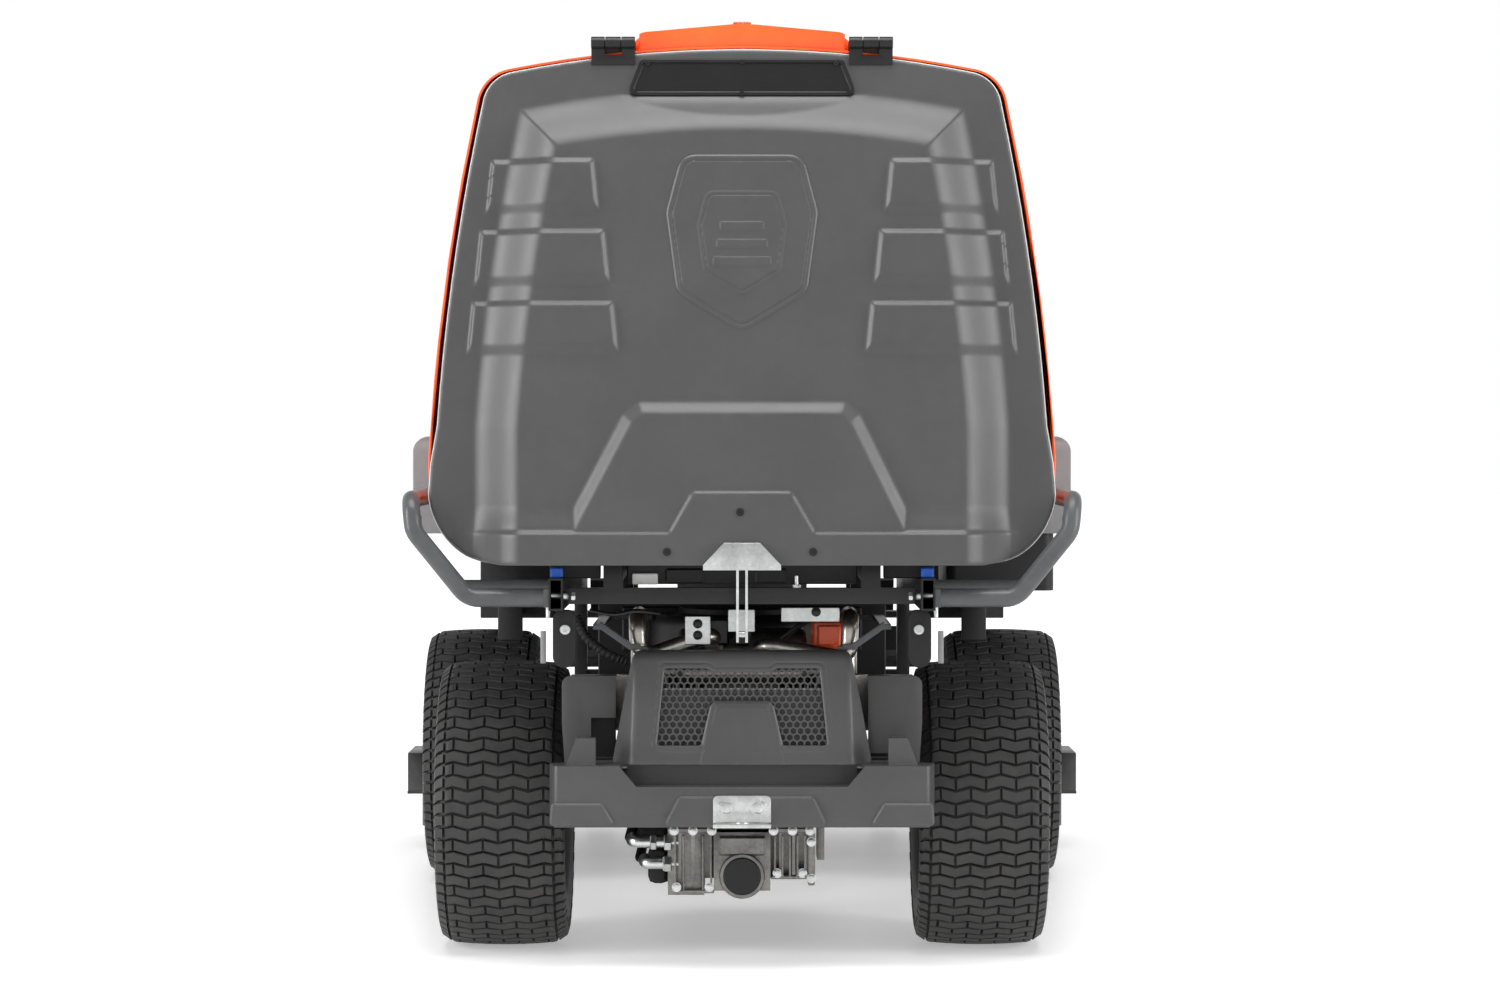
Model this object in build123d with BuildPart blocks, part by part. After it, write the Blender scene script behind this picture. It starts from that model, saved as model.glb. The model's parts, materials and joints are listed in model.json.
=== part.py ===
"""Ride-on collector mower: front-mounted deck, articulated rear engine section, tipping grass bin.

The row frame is millimetres, +Z up, +Y the way the machine drives and +X its right-hand side.
The origin is on the ground under the middle of the machine's bounding box.
"""

import math
import os

from build123d import *

os.makedirs("parts", exist_ok=True)

# ---------------------------------------------------------------- running gear
wheelbase = 1000
rear_overhang = 385
front_overhang = 965
rear_track = 770
front_track = 966
tyre_diameter = 463
tyre_width = 206
tread_width = 168
bead_diameter = 212
bead_half_width = 75
bead_clearance = 0.3
rim_flange = 10
rim_wall = 3
axle_shaft_radius = 14
axle_tube_radius = 23
running_clearance = 0.05

# ---------------------------------------------------------------- rear section
rear_rail_offset = 150
rear_rail_width = 40
rear_rail_height = 60
rear_rail_above_axle = 23.5
pivot_pin_radius = 20
pivot_wall = 18
engine_height = 230
swing_clearance = 15
exhaust_tube_radius = 14
exhaust_tube_wall = 1.5
cover_wall = 4
cover_top_half = 168
cover_bottom_half = 192
cover_height = 175
bumper_half = 303
bumper_height = 95
bumper_wall = 5
tow_hole_radius = 9.5
tow_plate_thickness = 6

# ------------------------------------------------------- collector and its frame
subframe_half_gauge = 288
subframe_tube_width = 22
subframe_tube_height = 50
subframe_tube_wall = 3
guard_tube_radius = 14
guard_rail_half = 515
guard_rail_rise = 152
bin_floor_gap = 22
bin_depth = 580
bin_wall = 4
bin_belt_half = 489
bin_shoulder_half = 403
bin_height = 804
bin_front_rise = 40
door_gap = 6
door_wall = 4
door_bulge = 50
tip_tube_size = 25
tip_bolt_radius = 6
hinge_pin_radius = 4
hinge_knuckle_radius = 9.5

# --------------------------------------------------------------- front section
front_rail_offset = 190
front_rail_width = 40
front_rail_height = 80
front_rail_above_axle = 68.5
console_outer_half = 562
console_inner_half = 330
seat_width = 480
steering_wheel_radius = 180
duct_half_width = 120
duct_wall = 3

# ------------------------------------------------------------------------ deck
deck_half_width = 630
deck_ear_half = 665
deck_clearance = 60
deck_height = 115
deck_wall = 4
blade_radius = 198
blade_pitch = 372
lift_arm_offset = 150
lift_arm_width = 24
lift_pin_radius = 10
pedal_shaft_radius = 7

# ------------------------------------------------------- places that follow on
overall_length = wheelbase + rear_overhang + front_overhang
rear_axle_y = rear_overhang - overall_length / 2
front_axle_y = rear_axle_y + wheelbase
pivot_y = (rear_axle_y + front_axle_y) / 2
axle_z = tyre_diameter / 2
rear_rail_z = axle_z + rear_rail_above_axle
rear_rail_top = rear_rail_z + rear_rail_height
engine_top = rear_rail_top + engine_height
subframe_z = engine_top + swing_clearance
subframe_top = subframe_z + subframe_tube_height
bin_floor_z = subframe_top + bin_floor_gap
bin_top_z = bin_floor_z + bin_height
front_rail_z = axle_z + front_rail_above_axle
front_rail_top = front_rail_z + front_rail_height
bin_rear_y = rear_axle_y - 300
bin_front_y = bin_rear_y + bin_depth
tip_y = rear_axle_y - 318
tip_z = subframe_z + 22
hinge_y = bin_rear_y - 12
hinge_z = bin_top_z + 4
deck_rear_y = front_axle_y + tyre_diameter / 2 + 60
deck_front_y = front_axle_y + front_overhang
deck_top = deck_clearance + deck_height
lift_y = front_axle_y + 150
lift_z = front_rail_z + front_rail_height / 2
cover_rear_y = rear_axle_y - 300
cover_z = rear_rail_top + 3
guard_y = tip_y - 15


def save(builder, name):
    """Label a finished sub-part and write it to its own STEP file."""
    builder.part.label = name
    export_step(builder.part, f"parts/{name}.step")


def block(x_low, x_high, y_low, y_high, z_low, z_high, mode=Mode.ADD):
    """A box between two corners, in the sub-part that is open."""
    middle = ((x_low + x_high) / 2, (y_low + y_high) / 2, (z_low + z_high) / 2)
    with Locations(middle):
        Box(x_high - x_low, y_high - y_low, z_high - z_low, mode=mode)


def rod(start, end, radius, mode=Mode.ADD):
    """A round bar from start to end."""
    first, last = Vector(*start), Vector(*end)
    with BuildSketch(Plane(origin=first, z_dir=last - first)) as end_face:
        Circle(radius)
    extrude(end_face.sketch, amount=(last - first).length, mode=mode)


def bent_tube(points, radius, bend, wall=0):
    """A round tube along straight runs joined by arcs; wall 0 makes it solid."""
    with BuildLine() as route:
        FilletPolyline(*points, radius=bend)
    with BuildSketch(Plane(origin=route.line @ 0, z_dir=route.line % 0)) as section:
        Circle(radius)
        if wall:
            Circle(radius - wall, mode=Mode.SUBTRACT)
    sweep(section.sketch, path=route.line)


def bin_outline(inset=0, rise=0):
    """The bin's outline seen from behind, shrunk by inset, its crown lifted by rise."""
    belt_z = bin_floor_z + 158
    shoulder_z = bin_top_z - 44 + rise
    side_middle = ((bin_belt_half + bin_shoulder_half) / 2 + 13, (belt_z + shoulder_z) / 2)
    with BuildLine() as outline:
        Line((-bin_belt_half + 7, bin_floor_z), (bin_belt_half - 7, bin_floor_z))
        Line((bin_belt_half - 7, bin_floor_z), (bin_belt_half, belt_z))
        ThreePointArc((bin_belt_half, belt_z), side_middle, (bin_shoulder_half, shoulder_z))
        ThreePointArc(
            (bin_shoulder_half, shoulder_z), (0, bin_top_z + rise), (-bin_shoulder_half, shoulder_z)
        )
        ThreePointArc(
            (-bin_shoulder_half, shoulder_z), (-side_middle[0], side_middle[1]), (-bin_belt_half, belt_z)
        )
        Line((-bin_belt_half, belt_z), (-bin_belt_half + 7, bin_floor_z))
    make_face(outline.line.edges())
    corners = vertices().sort_by(Axis.Y)
    fillet(corners[0:2], radius=112)
    corners = [v for v in vertices() if abs(v.Y - shoulder_z) < 1]
    fillet(corners, radius=62)
    if inset:
        offset(amount=-inset, mode=Mode.REPLACE)


# ================================================================== wheels
def make_wheel(name, side, x, y):
    """One wheel: a hollow turf tyre and a dished steel rim with its hub and wheel bolts."""
    axis = Axis((x, y, axle_z), (1, 0, 0))
    plane = Plane(origin=(x, y, axle_z), x_dir=(1, 0, 0), z_dir=(0, -1, 0))
    crown, bead = tyre_diameter / 2, bead_diameter / 2
    shoulder = crown - 10
    bulge_r = (shoulder + bead) / 2
    half, tread, foot = tyre_width / 2, tread_width / 2, bead_half_width
    heel = bead + rim_flange + 2
    wall = 11
    with BuildPart() as tyre:
        with BuildSketch(plane):
            with BuildLine():
                Line((foot, bead), (foot, heel))
                ThreePointArc((foot, heel), (half, bulge_r), (tread, shoulder))
                ThreePointArc((tread, shoulder), (0, crown), (-tread, shoulder))
                ThreePointArc((-tread, shoulder), (-half, bulge_r), (-foot, heel))
                Line((-foot, heel), (-foot, bead))
                Line((-foot, bead), (-foot + wall, bead))
                Line((-foot + wall, bead), (-foot + wall, heel))
                ThreePointArc((-foot + wall, heel), (-half + wall, bulge_r), (-tread + wall, shoulder - wall))
                ThreePointArc(
                    (-tread + wall, shoulder - wall), (0, crown - wall), (tread - wall, shoulder - wall)
                )
                ThreePointArc((tread - wall, shoulder - wall), (half - wall, bulge_r), (foot - wall, heel))
                Line((foot - wall, heel), (foot - wall, bead))
                Line((foot - wall, bead), (foot, bead))
            make_face()
        revolve(axis=axis)
    save(tyre, f"tyre_{name}")

    seat = bead - bead_clearance
    flange_low = foot + bead_clearance
    flange_high = flange_low + rim_wall
    disc_thickness, hub_radius, hub_reach, bolt_circle = 6, 32, 45, 50
    with BuildPart() as rim:
        with BuildSketch(plane):
            with Locations((0, seat - rim_wall / 2)):
                Rectangle(2 * flange_high, rim_wall)
            for end in (-1, 1):
                with Locations((end * (flange_low + flange_high) / 2, seat + rim_flange / 2 - 1)):
                    Rectangle(rim_wall, rim_flange + 2)
            with Locations((side * disc_thickness / 2, (seat + hub_radius) / 2 - 1)):
                Rectangle(disc_thickness, seat - hub_radius)
            with Locations((-side * hub_reach / 2 + side * disc_thickness, hub_radius / 2 + 1)):
                Rectangle(hub_reach, hub_radius)
            with Locations((0, (axle_shaft_radius + running_clearance) / 2)):
                Rectangle(2 * flange_high, axle_shaft_radius + running_clearance, mode=Mode.SUBTRACT)
        revolve(axis=axis)
        face_x = x + side * disc_thickness
        with BuildSketch(Plane(origin=(face_x, y, axle_z), z_dir=(side, 0, 0))):
            with PolarLocations(bolt_circle, 4):
                RegularPolygon(9, 6)
        extrude(amount=7)
    save(rim, f"rim_{name}")


for axle, axle_y, track in (("rear", rear_axle_y, rear_track), ("front", front_axle_y, front_track)):
    for hand, side in (("left", -1), ("right", 1)):
        make_wheel(f"{axle}_{hand}", side, side * track / 2, axle_y)

# ============================================================ rear section
pivot_sleeve_radius = pivot_pin_radius + pivot_wall
with BuildPart() as rear_frame:
    for side in (-1, 1):
        inner = side * (rear_rail_offset - rear_rail_width / 2)
        outer = side * (rear_rail_offset + rear_rail_width / 2)
        rail_ends = (cover_rear_y + 45, pivot_y - 80)
        block(min(inner, outer), max(inner, outer), *rail_ends, rear_rail_z, rear_rail_top)
    rail_edge = rear_rail_offset + rear_rail_width / 2
    block(-rail_edge, rail_edge, pivot_y - 120, pivot_y - 80, rear_rail_z, rear_rail_top)
    block(-rail_edge, rail_edge, cover_rear_y + 37, cover_rear_y + 45, axle_z - 6, rear_rail_top)
    for side in (-1, 1):
        horn_x = side * rear_rail_offset
        block(horn_x - 15, horn_x + 15, cover_rear_y - 35 + bumper_wall, cover_rear_y + 37, axle_z + 8, axle_z + 48)
    block(-30, 30, pivot_y - 80, pivot_y, rear_rail_z, rear_rail_top)
    rod((0, pivot_y, rear_rail_z), (0, pivot_y, front_rail_top - 5), pivot_sleeve_radius)
    bore_end = (0, pivot_y, front_rail_top)
    rod((0, pivot_y, rear_rail_z - 1), bore_end, pivot_pin_radius + running_clearance, Mode.SUBTRACT)
save(rear_frame, "rear_frame")

gearcase_top = rear_rail_z
gearcase_bottom = axle_z - 131
with BuildPart() as rear_transaxle:
    block(-118, 112, rear_axle_y - 175, rear_axle_y + 70, gearcase_bottom + 26, gearcase_top - 32)
    block(-146, 140, rear_axle_y - 190, rear_axle_y + 80, gearcase_top - 32, gearcase_top - 22)
    block(-135, 130, rear_axle_y - 180, rear_axle_y + 75, gearcase_top - 22, gearcase_top)
    block(-45, 45, rear_axle_y - 196, rear_axle_y - 60, gearcase_bottom + 8, gearcase_top - 32)
    block(-118, -60, rear_axle_y - 186, rear_axle_y - 20, gearcase_bottom, gearcase_top - 40)
    for rib_x in (-98, -78, 62, 82, 102):
        block(rib_x - 3, rib_x + 3, rear_axle_y - 188, rear_axle_y - 175, gearcase_bottom + 26, gearcase_top - 32)
    rod((0, rear_axle_y - 204, gearcase_bottom + 32), (0, rear_axle_y - 190, gearcase_bottom + 32), 34)
    rod((-rear_track / 2 + 48, rear_axle_y, axle_z), (rear_track / 2 - 48, rear_axle_y, axle_z), axle_tube_radius)
    shaft_reach = rear_track / 2 + 4
    rod((-shaft_reach, rear_axle_y, axle_z), (shaft_reach, rear_axle_y, axle_z), axle_shaft_radius)
    for side in (-1, 1):
        block(side * 128 - 6, side * 128 + 6, rear_axle_y - 40, rear_axle_y + 40, gearcase_bottom + 40, gearcase_top)
    rod((0, rear_axle_y - 205, gearcase_bottom + 32), (0, rear_axle_y - 198, gearcase_bottom + 32), 30, Mode.SUBTRACT)
save(rear_transaxle, "rear_transaxle")

with BuildPart() as transaxle_cap:
    rod((0, rear_axle_y - 208, gearcase_bottom + 32), (0, rear_axle_y - 198, gearcase_bottom + 32), 29.5)
    fillet(edges().filter_by(GeomType.CIRCLE).group_by(Axis.Y)[0], radius=2)
save(transaxle_cap, "transaxle_cap")

hose_x = -118
hose_radius = 8
with BuildPart() as hydraulic_lines:
    for drop, inset in ((0, 0), (34, 16)):
        line_z = gearcase_top - 68 - drop
        start_y = rear_axle_y - 150 + inset
        far_x = hose_x - 62 + inset
        rise_z = rear_rail_z - 22 - drop / 2
        route = (
            (hose_x, start_y, line_z), (far_x, start_y, line_z), (far_x, rear_axle_y + 50, line_z),
            (far_x, rear_axle_y + 120, rise_z), (far_x, pivot_y - 170, rise_z),
        )
        bent_tube(route, hose_radius, 20)
        with BuildSketch(Plane(origin=(hose_x, start_y, line_z), z_dir=(-1, 0, 0))):
            RegularPolygon(13, 6)
        extrude(amount=22)
    block(-192, -130, pivot_y - 172, pivot_y - 150, rear_rail_z - 52, rear_rail_z)
save(hydraulic_lines, "hydraulic_lines")

crank_y = rear_axle_y + 120
cylinder_z = rear_rail_top + 80
with BuildPart() as engine_block:
    block(-rail_edge + 4, rail_edge - 4, crank_y - 110, crank_y + 120, rear_rail_top, rear_rail_top + 14)
    rod((0, crank_y, rear_rail_top + 14), (0, crank_y, rear_rail_top + 125), 100)
    block(-62, 62, crank_y - 120, crank_y, rear_rail_top + 30, rear_rail_top + 110)
    for side in (-1, 1):
        direction = Vector(side * math.sin(math.radians(50)), -math.cos(math.radians(50)), 0)
        root = Vector(side * 50, crank_y - 46, cylinder_z) + direction * 40
        with BuildSketch(Plane(origin=root, z_dir=direction)):
            Rectangle(70, 70)
        extrude(amount=112)
        for fin in range(6):
            with BuildSketch(Plane(origin=root + direction * (32 + fin * 12), z_dir=direction)):
                RectangleRounded(100, 100, 12)
            extrude(amount=4)
        with BuildSketch(Plane(origin=root + direction * 112, z_dir=direction)):
            RectangleRounded(92, 92, 14)
        extrude(amount=22)
save(engine_block, "engine_block")

with BuildPart() as fan_housing:
    with BuildSketch(Plane.XY.offset(rear_rail_top + 138)):
        with Locations((0, crank_y)):
            Circle(150)
        with Locations((0, crank_y + 40)):
            Rectangle(250, 200)
    extrude(amount=engine_height - 148)
    fillet(edges().group_by(Axis.Z)[-1], radius=18)
    with BuildSketch(Plane.XY.offset(engine_top - 10)):
        with Locations((0, crank_y)):
            Circle(105)
    extrude(amount=10)
save(fan_housing, "fan_housing")

muffler_y = rear_axle_y - 92
muffler_z = rear_rail_top + 160
pipe_y = rear_axle_y - 190
pipe_top = subframe_z - exhaust_tube_radius - 5
pipe_low = pipe_top - 66
head_y = rear_axle_y - 60
with BuildPart() as exhaust_system:
    rod((-104, muffler_y, muffler_z), (104, muffler_y, muffler_z), 46)
    fillet(edges().filter_by(GeomType.CIRCLE), radius=12)
    left_route = (
        (-166, head_y, cylinder_z + 51), (-166, head_y, pipe_top), (-166, pipe_y, pipe_top),
        (-164, pipe_y, pipe_low), (-44, pipe_y, pipe_top - 24), (-44, muffler_y, muffler_z),
    )
    bent_tube(left_route, exhaust_tube_radius, 24, exhaust_tube_wall)
    right_route = (
        (172, head_y, cylinder_z + 51), (172, head_y, pipe_top), (172, pipe_y, pipe_top),
        (169, pipe_y, pipe_low), (28, pipe_y, pipe_top - 42), (44, muffler_y, muffler_z),
    )
    bent_tube(right_route, exhaust_tube_radius, 22, exhaust_tube_wall)
save(exhaust_system, "exhaust_system")

# Grille cover: a thin hood with a window, leaning forwards towards its top.
cover_top_z = cover_z + cover_height
with BuildPart() as grille_cover:
    with BuildSketch(Plane.XY.offset(cover_z)):
        with Locations((0, cover_rear_y + 48)):
            Rectangle(2 * cover_bottom_half, 96)
    with BuildSketch(Plane.XY.offset(cover_top_z)):
        with Locations((0, cover_rear_y + 62)):
            Rectangle(2 * cover_top_half, 68)
    loft()
    fillet(edges().group_by(Axis.Z)[-1].sort_by(Axis.Y)[0], radius=14)
    with BuildSketch(Plane.XY.offset(cover_z - 1)):
        with Locations((0, cover_rear_y + 52)):
            Rectangle(2 * (cover_bottom_half - cover_wall), 100 - cover_wall)
    with BuildSketch(Plane.XY.offset(cover_top_z - cover_wall)):
        with Locations((0, cover_rear_y + 70)):
            Rectangle(2 * (cover_top_half - cover_wall), 80 - cover_wall)
    loft(mode=Mode.SUBTRACT)
    with BuildSketch(Plane.XZ.offset(-cover_rear_y + 10)):
        with BuildLine():
            Polyline(
                (-142, cover_z + 22), (-72, cover_z + 22), (-54, cover_z + 104), (54, cover_z + 104),
                (72, cover_z + 22), (142, cover_z + 22), (128, cover_z + 150), (-128, cover_z + 150),
                close=True,
            )
        make_face()
    extrude(amount=-50, mode=Mode.SUBTRACT)
save(grille_cover, "grille_cover")

with BuildPart() as grille_mesh:
    with BuildSketch(Plane(origin=(0, cover_rear_y + 9, cover_z), x_dir=(1, 0, 0), z_dir=(0, -1, 0.17))):
        with Locations((0, 86)):
            Rectangle(292, 138)
        with GridLocations(46, 15, 6, 8):
            with Locations((0, 86)):
                SlotOverall(38, 8, mode=Mode.SUBTRACT)
    extrude(amount=-2)
save(grille_mesh, "grille_mesh")

apron_half = 284
apron_y = cover_rear_y + 68
apron_top = cover_z + 134
apron_skin = 4
with BuildPart() as rear_apron:
    for side, notch_height in ((-1, 68), (1, 12)):
        with BuildSketch(Plane.XZ.offset(-apron_y)):
            with BuildLine():
                Polyline(
                    (side * 199, apron_top), (side * 199, cover_z + notch_height), (side * 238, cover_z + notch_height),
                    (side * 238, cover_z), (side * (apron_half - 4), cover_z), (side * apron_half, cover_z + 60),
                    (side * apron_half, apron_top), close=True,
                )
            make_face()
            fillet(vertices().group_by(Axis.Y)[-1].sort_by(lambda v: side * v.X)[-1], radius=14)
        extrude(amount=-apron_skin)
        low_x, high_x = min(side * apron_half, side * (apron_half - 4)), max(side * apron_half, side * (apron_half - 4))
        block(low_x, high_x, apron_y + 1, apron_y + 40, cover_z + 60, apron_top - 14)
        low_x, high_x = min(side * 199, side * (apron_half - 14)), max(side * 199, side * (apron_half - 14))
        block(low_x, high_x, apron_y + 1, apron_y + 40, apron_top - apron_skin, apron_top)
        low_x, high_x = min(side * 196, side * (apron_half - 4)), max(side * 196, side * (apron_half - 4))
        block(low_x, high_x, apron_y, apron_y + 40, rear_rail_top, cover_z + 1)
    block(-197, 197, apron_y, apron_y + 40, rear_rail_top, cover_z)
save(rear_apron, "rear_apron")

bumper_top = cover_z
bumper_z = bumper_top - bumper_height
bumper_y = cover_rear_y - 35
with BuildPart() as bumper:
    with BuildSketch(Plane.XY.offset(bumper_z)):
        with BuildLine():
            Polyline(
                (-bumper_half, bumper_y + 70), (-bumper_half + 12, bumper_y), (bumper_half - 12, bumper_y),
                (bumper_half, bumper_y + 70), close=True,
            )
        make_face()
    extrude(amount=bumper_height)
    fillet(edges().filter_by(Axis.Z), radius=8)
    with BuildSketch(Plane.XY.offset(bumper_z)):
        with BuildLine():
            Polyline(
                (-bumper_half + 6, bumper_y + 71), (-bumper_half + 17, bumper_y + bumper_wall),
                (bumper_half - 17, bumper_y + bumper_wall), (bumper_half - 6, bumper_y + 71), close=True,
            )
        make_face()
    extrude(amount=bumper_height - bumper_wall, mode=Mode.SUBTRACT)
    with BuildSketch(Plane.XZ.offset(-bumper_y + 1)):
        with BuildLine():
            Polyline(
                (-192, bumper_top + 1), (-164, bumper_top - 32), (164, bumper_top - 32), (192, bumper_top + 1),
                close=True,
            )
        make_face()
    extrude(amount=-55, mode=Mode.SUBTRACT)
    block(-170, 170, bumper_y, bumper_y + 58, bumper_top - 36, bumper_top - 32)
    block(-180, 180, bumper_y + 54, bumper_y + 58, bumper_top - 36, bumper_top)
    for side in (-1, 1):
        with BuildSketch(Plane.XZ.offset(-bumper_y - 20)):
            with BuildLine():
                Polyline(
                    (side * 228, bumper_top - bumper_wall), (side * 228, bumper_top + 42), (side * 258, bumper_top + 42),
                    (side * 276, bumper_top - bumper_wall), close=True,
                )
            make_face()
        extrude(amount=-24)
    for side in (-1, 1):
        with Locations(Plane.XZ.offset(-bumper_y) * Location((side * 29, bumper_z + 33, 0))):
            Hole(5.2, depth=20)
save(bumper, "bumper")

tow_y = bumper_y - tow_plate_thickness
tow_lip_reach = 35
tow_lip_z = bumper_z + 3
with BuildPart() as tow_plate:
    block(-45, 45, tow_y, bumper_y, tow_lip_z, bumper_z + 50)
    block(-45, 45, tow_y - tow_lip_reach, tow_y, tow_lip_z, tow_lip_z + tow_plate_thickness)
    fillet(edges().filter_by(Axis.Y).group_by(Axis.Z)[-1], radius=8)
    with Locations((0, tow_y - tow_lip_reach / 2, tow_lip_z + tow_plate_thickness)):
        Hole(tow_hole_radius, depth=2 * tow_plate_thickness)
    for side in (-1, 1):
        with BuildSketch(Plane(origin=(side * 29, tow_y, bumper_z + 33), z_dir=(0, -1, 0))):
            RegularPolygon(9, 6)
        extrude(amount=6)
        rod((side * 29, tow_y, bumper_z + 33), (side * 29, tow_y + 24, bumper_z + 33), 5)
save(tow_plate, "tow_plate")

brace_y = cover_rear_y + 80
with BuildPart() as cover_braces:
    for side in (-1, 1):
        foot = Vector(side * 172, brace_y, cover_top_z + 2)
        head = Vector(side * 226, brace_y, engine_top - 12)
        with BuildSketch(Plane(origin=foot, x_dir=(0, 1, 0), z_dir=head - foot)):
            Rectangle(20, 9)
        extrude(amount=(head - foot).length)
        pad_low, pad_high = min(side * 150, side * 166), max(side * 150, side * 166)
        block(pad_low, pad_high, brace_y - 10, brace_y + 10, cover_top_z, cover_top_z + 5)
        block(min(side * 160, side * 178), max(side * 160, side * 178), brace_y - 10, brace_y + 10, cover_top_z, cover_top_z + 9)
        block(side * 226 - 9, side * 226 + 9, brace_y - 10, crank_y - 20, engine_top - 20, engine_top - 12)
        block(
            min(side * 150, side * 226), max(side * 150, side * 226), crank_y - 30, crank_y - 10,
            engine_top - 20, engine_top - 12,
        )
    rod((0, crank_y, cover_z), (0, crank_y, engine_top + 5), 150.4, Mode.SUBTRACT)
save(cover_braces, "cover_braces")

# ================================================== collector frame (on the front section)
upright_y = pivot_y + 120
with BuildPart() as collector_subframe:
    for side in (-1, 1):
        low_x = side * subframe_half_gauge - subframe_tube_width / 2
        high_x = side * subframe_half_gauge + subframe_tube_width / 2
        wall = subframe_tube_wall
        block(low_x, high_x, tip_y - 32, upright_y + 20, subframe_z, subframe_top)
        block(
            low_x + wall, high_x - wall, tip_y - 33, upright_y - 20, subframe_z + wall, subframe_top - wall,
            Mode.SUBTRACT,
        )
        block(low_x, high_x, upright_y - 20, upright_y + 20, front_rail_top - 30, subframe_z)
        bolt_spot = (side * (subframe_half_gauge - 20), tip_y, tip_z)
        rod(bolt_spot, (side * (subframe_half_gauge + 20), tip_y, tip_z), tip_bolt_radius, Mode.SUBTRACT)
    rail_reach = subframe_half_gauge - subframe_tube_width / 2
    block(-rail_reach, rail_reach, upright_y - 15, upright_y + 15, front_rail_top, front_rail_top + 30)
save(collector_subframe, "collector_subframe")

with BuildPart() as tip_bolts:
    for side in (-1, 1):
        inner_x = subframe_half_gauge - subframe_tube_width / 2 - 26
        outer_x = subframe_half_gauge + subframe_tube_width / 2
        rod((side * inner_x, tip_y, tip_z), (side * (outer_x + 2), tip_y, tip_z), tip_bolt_radius)
        with BuildSketch(Plane(origin=(side * outer_x, tip_y, tip_z), z_dir=(side, 0, 0))):
            RegularPolygon(10, 6)
        extrude(amount=7)
save(tip_bolts, "tip_bolts")

with BuildPart() as guard_rails:
    for side in (-1, 1):
        low_z = tip_z - 3
        high_z = low_z + guard_rail_rise
        inner = subframe_half_gauge + subframe_tube_width / 2 + 8
        hoop = (
            (side * inner, guard_y, low_z),
            (side * (guard_rail_half - 90), guard_y, low_z),
            (side * (guard_rail_half - 6), guard_y, low_z + 104),
            (side * guard_rail_half, guard_y + 10, high_z),
            (side * guard_rail_half, guard_y + 520, high_z),
        )
        bent_tube(hoop, guard_tube_radius, 36, 2)
        front_hoop = (
            (side * inner, guard_y + 380, low_z + 4),
            (side * (guard_rail_half - 40), guard_y + 380, low_z + 4),
            (side * (guard_rail_half + 22), guard_y + 380, low_z + 90),
            (side * (guard_rail_half + 22), guard_y + 380, high_z - 34),
        )
        bent_tube(front_hoop, 10, 40, 2)
        block(
            min(side * inner, side * (inner - 8)), max(side * inner, side * (inner - 8)),
            guard_y - 14, guard_y + 3, low_z - 14, low_z + 14,
        )
        block(
            min(side * inner, side * (inner - 8)), max(side * inner, side * (inner - 8)),
            guard_y + 370, guard_y + 390, low_z - 8, low_z + 16,
        )
save(guard_rails, "guard_rails")

with BuildPart() as rubber_stops:
    for side in (-1, 1):
        stop_x, stop_y = side * (subframe_half_gauge - 12), tip_y + 14
        with BuildSketch(Plane.XZ.offset(-stop_y)):
            with Locations((stop_x, subframe_z - 44)):
                SlotOverall(92, 36, rotation=90)
        extrude(amount=20)
    with BuildSketch(Plane.XY.offset(subframe_z)):
        Rectangle(3000, 3000)
    extrude(amount=200, mode=Mode.SUBTRACT)
save(rubber_stops, "rubber_stops")

# ============================================================ tipping bin
with BuildPart() as bin_block:
    with BuildSketch(Plane.XZ.offset(-bin_rear_y)):
        bin_outline()
    with BuildSketch(Plane.XZ.offset(-bin_front_y)):
        bin_outline(rise=bin_front_rise)
    loft(ruled=True)
bin_solid = bin_block.part

duct_mouth_z = bin_floor_z + 16
duct_mouth_height = 146
with BuildPart() as bin_shell:
    add(bin_solid)
    offset(amount=-bin_wall, openings=bin_shell.faces().sort_by(Axis.Y)[0])
    block(
        -duct_half_width, duct_half_width, bin_front_y - 2 * bin_wall, bin_front_y + 10,
        duct_mouth_z, duct_mouth_z + duct_mouth_height, Mode.SUBTRACT,
    )
save(bin_shell, "bin_shell")

hood_rise = 36
with BuildPart() as bin_hood:
    with BuildSketch(Plane.XZ.offset(-(bin_rear_y + 6))):
        with BuildLine():
            Polyline(
                (-218, bin_top_z - 30), (-158, bin_top_z + hood_rise - 14), (0, bin_top_z + hood_rise),
                (158, bin_top_z + hood_rise - 14), (218, bin_top_z - 30), close=True,
            )
        make_face()
    extrude(amount=-330)
    fillet(edges().filter_by(Axis.Y).group_by(Axis.Z)[-2], radius=30)
    chamfer(faces().sort_by(Axis.Y)[-1].edges().group_by(Axis.Z)[-1], length=20)
    add(bin_solid, mode=Mode.SUBTRACT)
    for side in (-1, 1):
        low_x, high_x = min(side * 160, side * 245), max(side * 160, side * 245)
        block(low_x, high_x, bin_rear_y - 20, bin_rear_y + 60, bin_top_z - 40, bin_top_z + 60, Mode.SUBTRACT)
save(bin_hood, "bin_hood")

with BuildPart() as top_lens:
    lens_y = bin_rear_y + 30
    block(-14, 14, lens_y, lens_y + 30, bin_top_z + hood_rise - 4, bin_top_z + hood_rise + 5)
    fillet(edges().group_by(Axis.Z)[-1], radius=3)
    with BuildSketch(Plane.XZ.offset(-(lens_y - 1))):
        with BuildLine():
            Polyline(
                (-158, bin_top_z + hood_rise - 14), (0, bin_top_z + hood_rise),
                (158, bin_top_z + hood_rise - 14), (158, bin_top_z - 60), (-158, bin_top_z - 60), close=True,
            )
        make_face()
    extrude(amount=-40, mode=Mode.SUBTRACT)
save(top_lens, "top_lens")

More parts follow.
